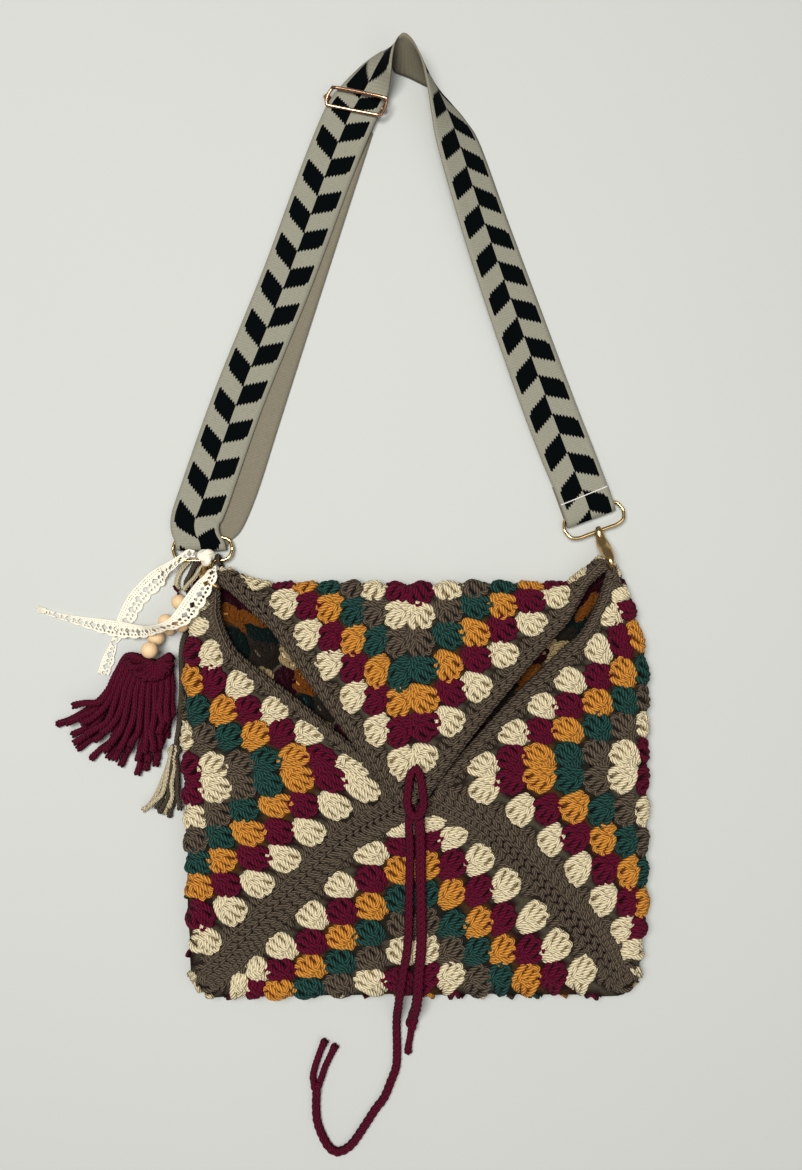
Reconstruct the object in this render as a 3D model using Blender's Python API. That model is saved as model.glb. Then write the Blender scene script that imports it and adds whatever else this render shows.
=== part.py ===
"""Granny square bag with a webbing shoulder strap, lying on its back.

One crocheted square of fifteen rounds and a border is folded like an envelope. Its left,
bottom and right corners are sewn to each other along the lower diagonals, and its top corner
is a loose flap with a tie cord. A webbing strap holds it by two rings and two swivel hooks.

The frame: millimetres in this file, metres in the scene, +Z up off the table, +Y up the bag
towards its strap and the origin on the table under the middle of the bag's back.
"""

import math
from dataclasses import dataclass

import bmesh
import bpy
import numpy as np
from mathutils import Vector
from mathutils.geometry import delaunay_2d_cdt

MM = 0.001
GAP = 0.3

ROUNDS = 15
SQUARE_REACH = 16.5
FOLD_AT = 8.25
FIRST_ROW = 8.5
TIP_ROW = 6.0

CLOTH_THICKNESS = 8.0
BACK_HEIGHT = 4.0
FRONT_HEIGHT = 17.5
FOLD_RADIUS = (FRONT_HEIGHT - BACK_HEIGHT) / 2
CLUSTER_RISE = 1.7
FLAP_LIFT = 9.6
FRONT_SINK = 1.0
HOLE_RADIUS = 2.9

OUTLINE_LEFT = -160.2
OUTLINE_RIGHT = 160.2
OUTLINE_TOP = 143.2
OUTLINE_BOTTOM = -142.2
OUTLINE_CORNER = 14.0
SEAM_END = (5.0, 2.0)
FLAP_TIP_CUT = 7.2

STRAP_THICKNESS = 1.8
WIRE = 2.3
TIE_RADIUS = 2.7
TIE_WIDE_RADIUS = 3.3
LOOP_HEIGHT = 34.6
BEAD_HOLE = 1.6
LACE_THICKNESS = 1.0


@dataclass(frozen=True)
class Panel:
    """A folded-in corner of the square, by where its clusters lie, in millimetres.

    A cluster in row K, counted from the fold, and column C, counted from the panel's axis,
    lies at axis + K * row_step + |C| * side step, whose value runs from the fold to the tip.
    """

    name: str
    inward: tuple
    axis: tuple
    row_step: tuple
    plus_fold: tuple
    plus_tip: tuple
    minus_fold: tuple
    minus_tip: tuple
    corner_start: float = 4.5


PANELS = {
    "top": Panel("top", (0, 1), (-5.6, 152.0), (0.3, -21.3), (19.8, 1.4), (20.0, 6.5),
                 (-16.4, 1.4), (-16.4, 1.4), corner_start=6.0),
    "left": Panel("left", (-1, 0), (-168.3, 8.1), (20.2, 2.6), (-3.3, 21.0), (-8.3, 16.0),
                  (1.5, -16.7), (4.7, -18.5)),
    "right": Panel("right", (1, 0), (173.7, 21.0), (-20.8, -0.4), (-0.4, 19.2), (1.5, 17.4),
                   (-0.7, -22.5), (6.5, -19.2)),
    "bottom": Panel("bottom", (0, -1), (0.0, -136.6), (-0.2, 20.5), (18.0, -0.4), (18.9, 3.6),
                    (-22.1, -2.2), (-20.3, -6.5)),
}

CORNER_PULL = {
    (1, 1): (-17.0, 24.0),
    (-1, 1): (13.0, 15.0),
    (1, -1): (-2.0, -2.0),
    (-1, -1): (2.0, -2.0),
}
CORNER_PULL_REACH = 58.0
CORNER_TURN = {1: 0.38, -1: -0.05}
CORNER_THINNING = 0.7


def smooth(x):
    """Ease from 0 to 1 as x runs from 0 to 1."""
    x = np.clip(x, 0.0, 1.0)
    return x * x * (3.0 - 2.0 * x)


def outline_distance(points):
    """Distance of plan points outside the rounded outline, and the outward direction."""
    middle = np.array([OUTLINE_LEFT + OUTLINE_RIGHT, OUTLINE_BOTTOM + OUTLINE_TOP]) / 2
    half = np.array([OUTLINE_RIGHT - OUTLINE_LEFT, OUTLINE_TOP - OUTLINE_BOTTOM]) / 2
    offset = points - middle
    past = np.abs(offset) - (half - OUTLINE_CORNER)
    over = np.maximum(past, 0.0)
    length = np.linalg.norm(over, axis=1)
    distance = length + np.minimum(past.max(axis=1), 0.0) - OUTLINE_CORNER
    side = np.where(past[:, :1] >= past[:, 1:], [[1.0, 0.0]], [[0.0, 1.0]])
    safe = np.maximum(length, 1e-9)[:, None]
    direction = np.where((length > 1e-9)[:, None], over / safe, side)
    return distance, direction * np.where(offset < 0, -1.0, 1.0)


def unroll(points):
    """Carry front plan points round the fold onto the plane of the back."""
    distance, direction = outline_distance(points)
    return points + direction * (math.pi * FOLD_RADIUS - 2 * distance)[:, None]


def common_corner(sign_x, sign_y, on_back=False):
    """The unrolled place where two folds meet, part of the way round the fold."""
    x = (OUTLINE_RIGHT if sign_x > 0 else OUTLINE_LEFT) - sign_x * OUTLINE_CORNER
    y = (OUTLINE_TOP if sign_y > 0 else OUTLINE_BOTTOM) - sign_y * OUTLINE_CORNER
    turn = CORNER_TURN[sign_y]
    if on_back:
        turn = 1.0 - turn
    reach = (OUTLINE_CORNER + turn * math.pi * FOLD_RADIUS) * math.sqrt(0.5)
    return np.array([x + sign_x * reach, y + sign_y * reach])


def row_and_column(panel, uv):
    """Rows from the fold and columns from the axis of a panel's lattice points."""
    inward = np.array(panel.inward, dtype=float)
    rows = uv @ inward - FIRST_ROW
    columns = uv[:, 1] if panel.inward[0] else uv[:, 0]
    return rows, columns


def raw_plan(panel, rows, columns):
    """Plan places of lattice points before the corners and tips are drawn together."""
    spread = np.clip(rows / TIP_ROW, 0.0, 1.3)[:, None]
    plus = (1 - spread) * np.array(panel.plus_fold) + spread * np.array(panel.plus_tip)
    minus = (1 - spread) * np.array(panel.minus_fold) + spread * np.array(panel.minus_tip)
    step = np.where((columns >= 0)[:, None], plus, minus)
    near = np.where(rows < 1.0, 1.0 - 0.8 * (1.0 - rows), rows)
    axis = np.array(panel.axis) + near[:, None] * np.array(panel.row_step)
    return axis + np.abs(columns)[:, None] * step


def panel_plan(panel, uv):
    """Unrolled plan places of a panel's lattice points."""
    rows, columns = row_and_column(panel, uv)
    places = raw_plan(panel, rows, columns)
    fold_row = FOLD_AT - FIRST_ROW
    for side in (-1, 1):
        corner = (side, panel.inward[1]) if panel.inward[1] else (panel.inward[0], side)
        at_corner = raw_plan(panel, np.array([fold_row]), np.array([side * FOLD_AT]))[0]
        start = panel.corner_start
        pull = smooth((side * columns - start) / (FOLD_AT - start))
        places = places + pull[:, None] * (common_corner(*corner) - at_corner)
    if panel.name != "top":
        at_tip = raw_plan(panel, np.array([SQUARE_REACH - FIRST_ROW]), np.array([0.0]))[0]
        pull = smooth((rows - 4.5) / (SQUARE_REACH - FIRST_ROW - 4.5))
        places = places + pull[:, None] * (np.array(SEAM_END) - at_tip)
    return places


def back_plan(uv):
    """Unrolled plan places of the back, between the four folds."""
    s = (uv[:, 0] + FOLD_AT) / (2 * FOLD_AT)
    t = (uv[:, 1] + FOLD_AT) / (2 * FOLD_AT)
    along_u = np.column_stack([uv[:, 0], np.zeros(len(uv))])
    along_v = np.column_stack([np.zeros(len(uv)), uv[:, 1]])
    left = unroll(panel_plan(PANELS["left"], along_v - [FOLD_AT, 0.0]))
    right = unroll(panel_plan(PANELS["right"], along_v + [FOLD_AT, 0.0]))
    bottom = unroll(panel_plan(PANELS["bottom"], along_u - [0.0, FOLD_AT]))
    top = unroll(panel_plan(PANELS["top"], along_u + [0.0, FOLD_AT]))
    s, t = s[:, None], t[:, None]
    corners = ((1 - s) * (1 - t) * common_corner(-1, -1, True)
               + s * (1 - t) * common_corner(1, -1, True)
               + (1 - s) * t * common_corner(-1, 1, True)
               + s * t * common_corner(1, 1, True))
    return (1 - s) * left + s * right + (1 - t) * bottom + t * top - corners


def corner_shift(points):
    """Sideways pull of the hooks on the corners, eased out over their reach."""
    shift = np.zeros_like(points)
    for (sign_x, sign_y), pull in CORNER_PULL.items():
        near = common_corner(sign_x, sign_y)
        distance = np.linalg.norm(points - near, axis=1)
        shift += smooth(1.0 - distance / CORNER_PULL_REACH)[:, None] * np.array(pull)
    return shift


def front_lift(panel, uv, distance):
    """How far a front panel's middle lies off the plain height of the front."""
    rows, _ = row_and_column(panel, uv)
    inside = smooth(-distance / 40.0)
    if panel.name == "top":
        return inside * (FLAP_LIFT * smooth((rows - 1.5) / 3.0) - FRONT_SINK)
    return -inside * FRONT_SINK


def panel_of(uv):
    """Name of the part of the square that each lattice point belongs to."""
    names = np.full(len(uv), "back  ")
    names[uv[:, 1] > FOLD_AT + 1e-6] = "top"
    names[uv[:, 1] < -FOLD_AT - 1e-6] = "bottom"
    names[uv[:, 0] > FOLD_AT + 1e-6] = "right"
    names[uv[:, 0] < -FOLD_AT - 1e-6] = "left"
    return np.char.strip(names)


def cloth_places(uv, offset):
    """Places in the folded bag of lattice points, at an outward offset from mid-cloth."""
    places = np.zeros((len(uv), 3))
    names = panel_of(uv)
    middle = (FRONT_HEIGHT + BACK_HEIGHT) / 2
    for name in ("back", "top", "left", "right", "bottom"):
        chosen = names == name
        if not chosen.any():
            continue
        front = 1.0 if name != "back" else -1.0
        plan = panel_plan(PANELS[name], uv[chosen]) if front > 0 else back_plan(uv[chosen])
        distance, direction = outline_distance(plan)
        lift = np.zeros(len(plan))
        if front > 0:
            lift = front_lift(PANELS[name], uv[chosen], distance)
        turn = np.clip(distance / FOLD_RADIUS, 0.0, math.pi)
        past = np.maximum(distance - math.pi * FOLD_RADIUS, 0.0)
        foot = plan - direction * distance[:, None]
        radius = FOLD_RADIUS + offset[chosen]
        reach = np.where(distance > 0, radius * np.sin(turn) - past, distance)
        flat = foot + direction * reach[:, None]
        places[chosen, :2] = flat + corner_shift(flat)
        places[chosen, 2] = middle + front * (radius * np.cos(turn)) + lift
    return places


def squeeze(uv):
    """How thin the cloth is pressed where two folds meet, as a share of its thickness."""
    away = np.full(len(uv), 99.0)
    for sign_x, sign_y in CORNER_PULL:
        corner = np.array([sign_x, sign_y]) * FOLD_AT
        away = np.minimum(away, np.linalg.norm(uv - corner, axis=1))
    return 1.0 - CORNER_THINNING * (1.0 - smooth(away / 2.2))


def lattice_points(fine):
    """Lattice points for one face of the cloth: fine ones show each cluster as a bump."""
    step = 0.25
    count = int(SQUARE_REACH / step)
    values = np.arange(-count, count + 1) * step
    u, v = (grid.ravel() for grid in np.meshgrid(values, values))
    size = np.maximum(np.abs(u), np.abs(v))
    on_half = (np.mod(u, 0.5) == 0) & (np.mod(v, 0.5) == 0)
    centred = on_half & (np.mod(u + v, 1.0) == 0) & (np.mod(u, 1.0) == np.mod(v, 1.0))
    front = size > FOLD_AT
    band_u = (np.abs(np.abs(u) - FOLD_AT) < 0.6) & (np.mod(v, 0.5) == 0)
    band_v = (np.abs(np.abs(v) - FOLD_AT) < 0.6) & (np.mod(u, 0.5) == 0)
    keep = band_u | band_v | np.where(front & fine, on_half, centred)
    keep &= np.abs(u) + np.abs(v) < SQUARE_REACH - 0.3
    keep &= v < FIRST_ROW + FLAP_TIP_CUT - 0.2
    points = np.column_stack([u, v])[keep]
    for centre in hole_centres():
        away = np.linalg.norm(points - centre, axis=1)
        points = points[away > 0.24]
    return points


def hole_centres():
    """Lattice places of the corner spaces between the two corner clusters of each round."""
    centres = []
    for number in range(ROUNDS):
        distance = number + 0.5
        for x, y in ((0, 1), (0, -1), (1, 0), (-1, 0)):
            if abs(distance - FOLD_AT) > 0.4:
                centres.append((x * distance, y * distance))
    return np.array(centres)


def hole_loop(centre):
    """Six lattice points round a corner space."""
    radius = HOLE_RADIUS / 20.0
    angles = np.arange(6) * math.pi / 3 + math.pi / 6
    return centre + radius * np.column_stack([np.cos(angles), np.sin(angles)])


def side_points(corner, tip, steps):
    """Lattice points along half a side of the square, from a fold corner towards a tip."""
    along = np.linspace(0.0, 1.0, steps + 1)[:, None]
    return (1 - along) * np.array(corner, float) + along * np.array(tip, float)


def matched_seam(panel_a, tip_a, panel_b, tip_b, corner, steps):
    """Lattice points on two sides that are sewn together, paired by where they lie."""
    samples = 200
    share = np.linspace(0.0, 1.0, samples + 1)
    wanted = np.linspace(0.0, 1.0, steps + 1)
    corner = np.array(corner)
    pairs = []
    for panel, tip in ((panel_a, tip_a), (panel_b, tip_b)):
        plan = panel_plan(PANELS[panel], side_points(corner, tip, samples))
        along = (plan - plan[0]) @ (plan[-1] - plan[0])
        along = np.maximum.accumulate(along / along[-1] + share * 1e-6)
        matched = np.interp(wanted * along[-1], along, share)[:, None]
        pairs.append(corner * (1 - matched) + np.array(tip) * matched)
    return pairs


def boundary_loop():
    """Lattice points round the square, the pairs that are sewn, and the sewn stretch."""
    fold, reach = FOLD_AT, SQUARE_REACH
    steps = 16
    cut = FIRST_ROW + FLAP_TIP_CUT
    flap_steps = int(steps * (cut - fold) / fold)
    right_seam, bottom_right = matched_seam("right", (reach, 0), "bottom", (0, -reach),
                                            (fold, -fold), steps)
    left_seam, bottom_left = matched_seam("left", (-reach, 0), "bottom", (0, -reach),
                                          (-fold, -fold), steps)
    top_right = side_points((fold, fold), (reach - cut, cut), flap_steps)
    top_left = side_points((-fold, fold), (cut - reach, cut), flap_steps)
    right_mouth = side_points((fold, fold), (reach, 0), steps)
    left_mouth = side_points((-fold, fold), (-reach, 0), steps)
    flap_tip = np.array([[0.0, cut + 0.35]])
    runs = [top_right[1:][::-1], right_mouth[:-1], right_seam[::-1][:-1], bottom_right[:-1],
            bottom_left[::-1][:-1], left_seam[:-1], left_mouth[::-1][:-1], top_left, flap_tip]
    starts = np.cumsum([0] + [len(run) for run in runs])
    joined = {}
    for number in range(1, steps + 1):
        joined[int(starts[3]) - number] = int(starts[3]) + number
        joined[int(starts[5]) + number] = int(starts[5]) - number
    return np.vstack(runs), joined, (int(starts[2]), int(starts[6]))


def relief(uv):
    """Rise of the outer face: a bump on each cluster and a ridge along the border."""
    away = np.abs(uv).sum(axis=1)
    bump = (np.sin(math.pi * uv[:, 0]) * np.sin(math.pi * uv[:, 1])) ** 2
    rise = CLUSTER_RISE * (bump - 0.5)
    ridge = CLUSTER_RISE * smooth((away - 15.6) / 0.8) - 0.5
    return np.where(away > 15.4, ridge, rise)


def cloth_face(loops, fine):
    """Triangulate one face of the cloth in lattice coordinates, leaving the holes out."""
    fixed = np.vstack(loops)
    free = lattice_points(fine)
    edges = []
    start = 0
    for loop in loops:
        count = len(loop)
        edges += [(start + i, start + (i + 1) % count) for i in range(count)]
        start += count
    points = [Vector(point) for point in np.vstack([fixed, free])]
    places, _, faces, origins, _, _ = delaunay_2d_cdt(points, edges, [], 1, 1e-5)
    new_index = {}
    for index, sources in enumerate(origins):
        for source in sources:
            new_index[source] = index
    uv = np.array([tuple(place) for place in places])
    triangles = np.array(faces)
    centres = uv[triangles].mean(axis=1)
    keep = np.ones(len(triangles), dtype=bool)
    for loop in loops[1:]:
        middle = loop.mean(axis=0)
        keep &= np.linalg.norm(centres - middle, axis=1) > 0.11
    return uv, triangles[keep], [new_index[i] for i in range(len(fixed))]


def flip_to(uv, triangles, clockwise):
    """Give every triangle one turning sense in lattice coordinates."""
    a, b, c = (uv[triangles[:, i]] for i in range(3))
    turn = (b[:, 0] - a[:, 0]) * (c[:, 1] - a[:, 1]) - (b[:, 1] - a[:, 1]) * (c[:, 0] - a[:, 0])
    wrong = (turn > 0) == clockwise
    fixed = triangles.copy()
    fixed[wrong] = fixed[wrong][:, ::-1]
    return fixed


def bag_body():
    """The whole crocheted square as one folded solid: its vertices and faces."""
    border, joined, sewn = boundary_loop()
    loops = [border] + [hole_loop(centre) for centre in hole_centres()]
    half = CLOTH_THICKNESS / 2
    outer_uv, outer_faces, outer_loop = cloth_face(loops, True)
    inner_uv, inner_faces, inner_loop = cloth_face(loops, False)
    outer_faces = flip_to(outer_uv, outer_faces, True)
    inner_faces = flip_to(inner_uv, inner_faces, False)
    rise = relief(outer_uv)
    rise[(np.abs(outer_uv) < FOLD_AT - 0.3).all(axis=1)] = 0.0
    outer = cloth_places(outer_uv, (half + rise) * squeeze(outer_uv))
    inner = cloth_places(inner_uv, -half * squeeze(inner_uv))
    outer[:, 2] = np.maximum(outer[:, 2], 0.0)
    vertices = np.vstack([outer, inner])
    inner_loop = [index + len(outer) for index in inner_loop]
    walls = []
    start = 0
    for number, loop in enumerate(loops):
        count = len(loop)
        for i in range(count):
            one, two = start + i, start + (i + 1) % count
            if number > 0 or not sewn[0] <= one < sewn[1]:
                walls.append((outer_loop[one], outer_loop[two], inner_loop[two], inner_loop[one]))
        start += count
    merged = np.arange(len(vertices))
    for loop in (outer_loop, inner_loop):
        for one, other in joined.items():
            a, b = loop[one], loop[other]
            vertices[b] = (vertices[a] + vertices[b]) / 2
            merged[a] = b
    faces = [tuple(merged[list(face)]) for face in outer_faces.tolist()]
    faces += [tuple(merged[[i + len(outer) for i in face]]) for face in inner_faces.tolist()]
    faces += [tuple(merged[list(wall)]) for wall in walls]
    return vertices, faces


def clear_scene():
    """Remove every object that the new scene starts with."""
    for thing in list(bpy.data.objects):
        bpy.data.objects.remove(thing)


def material(name, colour, roughness, metallic=0.0):
    """A Principled material of one plain colour."""
    made = bpy.data.materials.new(name)
    made.use_nodes = True
    shader = made.node_tree.nodes["Principled BSDF"]
    shader.inputs["Base Color"].default_value = (*colour, 1.0)
    shader.inputs["Roughness"].default_value = roughness
    shader.inputs["Metallic"].default_value = metallic
    return made


def add_mesh(name, vertices, faces, look, smooth_shading=True):
    """Add an object from points in millimetres, with its faces turned outward."""
    mesh = bpy.data.meshes.new(name)
    work = bmesh.new()
    made = [work.verts.new(Vector(point) * MM) for point in vertices]
    for face in faces:
        work.faces.new([made[i] for i in face])
    loose = [vertex for vertex in work.verts if not vertex.link_faces]
    bmesh.ops.delete(work, geom=loose, context="VERTS")
    bmesh.ops.triangulate(work, faces=work.faces[:])
    bmesh.ops.recalc_face_normals(work, faces=work.faces[:])
    if work.calc_volume(signed=True) < 0:
        bmesh.ops.reverse_faces(work, faces=work.faces[:])
    work.to_mesh(mesh)
    work.free()
    if smooth_shading:
        mesh.shade_smooth()
    thing = bpy.data.objects.new(name, mesh)
    thing.data.materials.append(look)
    bpy.context.scene.collection.objects.link(thing)
    return thing


def smooth_route(route, spacing, closed=False):
    """Points about every spacing along a smooth curve through a route's own points."""
    route = np.array(route, dtype=float)
    if closed:
        ends = np.vstack([route[-1:], route, route[:2]])
    else:
        ends = np.vstack([2 * route[0] - route[1], route, 2 * route[-1] - route[-2]])
    places = []
    for i in range(1, len(ends) - 2):
        before, here, there, after = ends[i - 1:i + 3]
        count = max(1, int(round(np.linalg.norm(there - here) / spacing)))
        for step in range(count):
            t = step / count
            places.append(0.5 * (2 * here + (there - before) * t
                                 + (2 * before - 5 * here + 4 * there - after) * t ** 2
                                 + (3 * here - before - 3 * there + after) * t ** 3))
    if not closed:
        places.append(route[-1])
    return np.array(places)


def add_cord(name, route, radius, look, spacing, sides=2, closed=False):
    """A round cord or wire along a smooth curve, with filled ends."""
    data = bpy.data.curves.new(name, "CURVE")
    data.dimensions = "3D"
    data.bevel_depth = radius * MM
    data.bevel_resolution = sides
    data.use_fill_caps = not closed
    spline = data.splines.new("POLY")
    places = smooth_route(route, spacing, closed)
    spline.points.add(len(places) - 1)
    for point, place in zip(spline.points, places):
        point.co = (*(place * MM), 1.0)
        point.radius = 1.0
    spline.use_cyclic_u = closed
    spline.use_smooth = True
    thing = bpy.data.objects.new(name, data)
    data.materials.append(look)
    bpy.context.scene.collection.objects.link(thing)
    return thing


def frames_along(places):
    """Two unit normals at each place of a path, turning as little as they can."""
    tangents = np.gradient(places, axis=0)
    tangents /= np.linalg.norm(tangents, axis=1)[:, None]
    side = np.cross(tangents[0], [0.0, 0.0, 1.0])
    sides = []
    for tangent in tangents:
        side = side - tangent * (side @ tangent)
        side = side / np.linalg.norm(side)
        sides.append(side)
    sides = np.array(sides)
    return sides, np.cross(sides, tangents)


def join_rings(rings, closed=False):
    """Vertices and faces of a skin over rings of equal count, with flat ends."""
    count = len(rings[0])
    faces = []
    last = len(rings) if closed else len(rings) - 1
    for i in range(last):
        low, high = i * count, (i + 1) % len(rings) * count
        for j in range(count):
            k = (j + 1) % count
            faces.append((low + j, low + k, high + k, high + j))
    if not closed:
        faces.append(tuple(range(count)))
        faces.append(tuple(range((len(rings) - 1) * count, len(rings) * count)))
    return np.vstack(rings), faces


def add_tapered(name, route, radii, look, spacing, count=10):
    """A round-sided piece along a route whose half width and half height change."""
    places = smooth_route(route, spacing)
    share = np.linspace(0, 1, len(places))
    given = np.linspace(0, 1, len(radii))
    table = np.array(radii, dtype=float)
    across = np.interp(share, given, table[:, 0])
    rise = np.interp(share, given, table[:, 1])
    sides, ups = frames_along(places)
    angles = np.arange(count) * 2 * math.pi / count
    rings = []
    for i, place in enumerate(places):
        rings.append(place + np.outer(np.cos(angles) * across[i], sides[i])
                     + np.outer(np.sin(angles) * rise[i], ups[i]))
    vertices, faces = join_rings(rings)
    return add_mesh(name, vertices, faces, look)


def add_band(name, stations, thickness, look, spacing):
    """A flat band through stations, each the band's two edges at mid-thickness."""
    route = np.array(stations, dtype=float).reshape(len(stations), 6)
    fine = smooth_route(route, spacing * math.sqrt(2))
    one, two = fine[:, :3], fine[:, 3:]
    normal = np.cross(np.gradient((one + two) / 2, axis=0), two - one)
    half = normal / np.linalg.norm(normal, axis=1)[:, None] * thickness / 2
    rings = [np.array([one[i] - half[i], two[i] - half[i], two[i] + half[i], one[i] + half[i]])
             for i in range(len(one))]
    vertices, faces = join_rings(rings)
    return add_mesh(name, vertices, faces, look, smooth_shading=False)


def strap(look):
    """The webbing: under the left leg, round the ring, over the apex, down the right leg."""
    low, lap, over = 0.95, 3.3, 7.2
    stations = [
        ((-66.8, 501.6, low), (-31.2, 488.3, low)),
        ((-89.2, 440.6, low), (-53.6, 427.3, low)),
        ((-115.9, 357.3, low), (-80.3, 344.0, low)),
        ((-136.8, 284.4, low), (-101.2, 271.1, low)),
        ((-152.4, 235.2, low), (-116.8, 221.9, low)),
        ((-164.0, 206.0, low), (-128.5, 194.0, low)),
        ((-174.0, 186.5, low), (-137.5, 184.5, low)),
        ((-176.4, 180.6, 1.2), (-139.4, 180.6, 1.2)),
        ((-176.8, 178.6, 2.6), (-139.8, 178.6, 2.6)),
        ((-176.8, 178.2, 4.4), (-139.8, 178.2, 4.4)),
        ((-176.8, 179.2, 6.4), (-140.0, 179.2, 6.4)),
        ((-177.6, 184.0, over), (-141.0, 184.0, over)),
        ((-180.4, 192.0, over), (-144.5, 190.0, over)),
        ((-180.6, 203.0, 5.6), (-145.0, 197.0, 5.6)),
        ((-175.2, 221.8, 4.0), (-139.6, 208.5, 4.0)),
        ((-148.5, 297.5, lap), (-112.5, 285.5, lap)),
        ((-110.6, 385.1, lap), (-75.0, 371.6, lap)),
        ((-80.0, 466.0, lap), (-44.4, 452.6, lap)),
        ((-67.5, 503.0, 6.0), (-29.8, 496.5, 5.8)),
        ((-62.6, 514.5, 6.2), (-25.2, 506.5, 7.4)),
        ((-57.0, 523.0, 4.6), (-21.6, 511.0, 10.2)),
        ((-48.5, 531.5, 2.8), (-19.3, 517.5, 17.6)),
        ((-38.0, 539.5, 1.4), (-17.6, 523.0, 28.0)),
        ((-27.0, 541.0, 1.0), (-16.2, 532.0, 34.5)),
        ((-17.0, 535.0, 1.0), (-13.0, 542.0, 37.0)),
        ((-5.2, 530.0, 1.0), (-7.0, 545.5, 36.5)),
        ((6.0, 524.5, 1.0), (-1.0, 540.0, 35.0)),
        ((16.0, 519.5, 1.0), (4.5, 528.0, 33.5)),
        ((27.0, 510.0, 1.0), (9.5, 510.0, 31.5)),
        ((37.0, 497.0, 1.0), (14.5, 493.0, 29.5)),
        ((46.9, 479.0, 1.0), (20.4, 471.3, 27.0)),
        ((66.2, 423.6, 1.0), (37.7, 414.3, 23.0)),
        ((90.8, 358.9, 1.2), (58.3, 346.3, 16.0)),
        ((117.6, 290.4, 2.6), (82.5, 276.8, 8.0)),
        ((133.0, 252.0, 4.0), (97.5, 238.7, 4.4)),
        ((139.5, 234.0, 5.2), (104.0, 220.7, 5.2)),
        ((144.0, 221.5, over), (108.5, 208.1, over)),
        ((147.6, 211.0, 6.6), (112.1, 197.6, 6.6)),
        ((148.6, 208.0, 4.6), (113.1, 194.6, 4.6)),
        ((148.6, 208.0, 2.6), (113.1, 194.6, 2.6)),
        ((147.6, 210.6, low), (112.1, 197.2, low)),
        ((144.0, 220.5, low), (108.5, 207.1, low)),
        ((137.6, 238.0, low), (102.1, 224.7, low)),
    ]
    add_band("strap", stations, STRAP_THICKNESS, look, 9.0)


@dataclass(frozen=True)
class WireRing:
    """A rounded wire ring whose upper bar lies in the strap and lower bar above the table."""

    centre: tuple
    length: float
    width: float
    degrees: float
    strap_height: float
    bag_height: float

    def route(self):
        """Its corner points, smoothed later into two half-round ends and two bars."""
        corner = self.width * 0.42
        places = []
        for sign_x, sign_y in ((1, 1), (-1, 1), (-1, -1), (1, -1)):
            insets = [(0.0, 1.0), (0.28, 0.28), (1.0, 0.0)]
            if sign_x * sign_y < 0:
                insets.reverse()
            for inset_x, inset_y in insets:
                x = sign_x * (self.length / 2 - corner * inset_x)
                y = sign_y * (self.width / 2 - corner * inset_y)
                height = self.strap_height if sign_y > 0 else self.bag_height
                if inset_y == 1.0:
                    height = (self.strap_height + self.bag_height) / 2
                places.append(self.turned(x, y, height))
        return places

    def turned(self, x, y, height):
        """A point of the ring's own frame in the frame of the bag."""
        angle = math.radians(self.degrees)
        return (self.centre[0] + x * math.cos(angle) - y * math.sin(angle),
                self.centre[1] + x * math.sin(angle) + y * math.cos(angle), height)


RINGS = {
    "left": WireRing((-157.3, 178.8), 44.0, 17.4, 0.0, 3.7, 6.4),
    "right": WireRing((132.5, 200.1), 46.0, 17.4, 20.0, 3.9, 6.6),
}


def as_cutter(thing):
    """Turn a curve object into a hidden mesh that cuts its neighbours."""
    graph = bpy.context.evaluated_depsgraph_get()
    mesh = bpy.data.meshes.new_from_object(thing.evaluated_get(graph))
    name = thing.name
    bpy.data.objects.remove(thing)
    cutter = bpy.data.objects.new(name, mesh)
    bpy.context.scene.collection.objects.link(cutter)
    cutter.hide_render = True
    cutter.display_type = "WIRE"
    return cutter


def hardware(gold, rose):
    """Rings, slider and swivel hooks."""
    slider = [(-60.0, 520.8, 10.4), (-24.0, 514.2, 16.2), (-20.8, 511.0, 15.4),
              (-23.8, 502.6, 11.4), (-27.8, 500.2, 10.3), (-64.0, 506.4, 8.7),
              (-66.8, 509.5, 9.0), (-63.8, 519.0, 10.2)]
    add_cord("slider", slider, 1.1, rose, 5.0, closed=True)
    thin = [(0.9, 0.9)] * 14
    add_tapered("slider_bar", [(-69.4, 512.8, 3.3), (-44.0, 507.6, 3.3), (-20.6, 502.8, 3.3)],
                [(0.6, 0.6), (2.1, 2.1), (1.9, 1.9)] + thin + [(1.9, 1.9), (2.1, 2.1), (0.6, 0.6)],
                rose, 2.6, 8)
    hooks = {
        "right": [(135.2, 195.0, 6.6), (136.4, 188.5, 7.6), (138.2, 182.0, 11.0),
                  (140.4, 175.6, 17.6), (142.0, 170.4, 21.6), (142.0, 166.2, 21.2),
                  (140.6, 163.0, 17.6)],
        "left": [(-151.5, 172.5, 6.4), (-152.4, 166.4, 7.6), (-153.8, 161.9, 12.0),
                 (-152.4, 156.4, 20.0), (-148.6, 153.2, 22.8), (-144.4, 151.0, 22.6),
                 (-141.8, 149.2, 19.4)],
    }
    sizes = [(1.6, 2.6), (3.5, 3.6), (2.8, 2.8), (3.4, 2.5), (4.2, 2.4), (4.0, 2.3), (3.2, 2.0),
             (2.4, 1.7), (1.7, 1.5), (1.4, 1.3), (1.0, 1.0)]
    for side, ring in RINGS.items():
        add_cord("ring_" + side, ring.route(), WIRE / 2, gold, 4.2, closed=True)
        room = add_cord("ring_room_" + side, ring.route(), WIRE / 2 + GAP, gold, 4.2, closed=True)
        hook = add_tapered("clasp_" + side, hooks[side], sizes, gold, 2.8, 10)
        cut = hook.modifiers.new("ring room", "BOOLEAN")
        cut.operation = "DIFFERENCE"
        cut.solver = "EXACT"
        cut.object = as_cutter(room)


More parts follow.
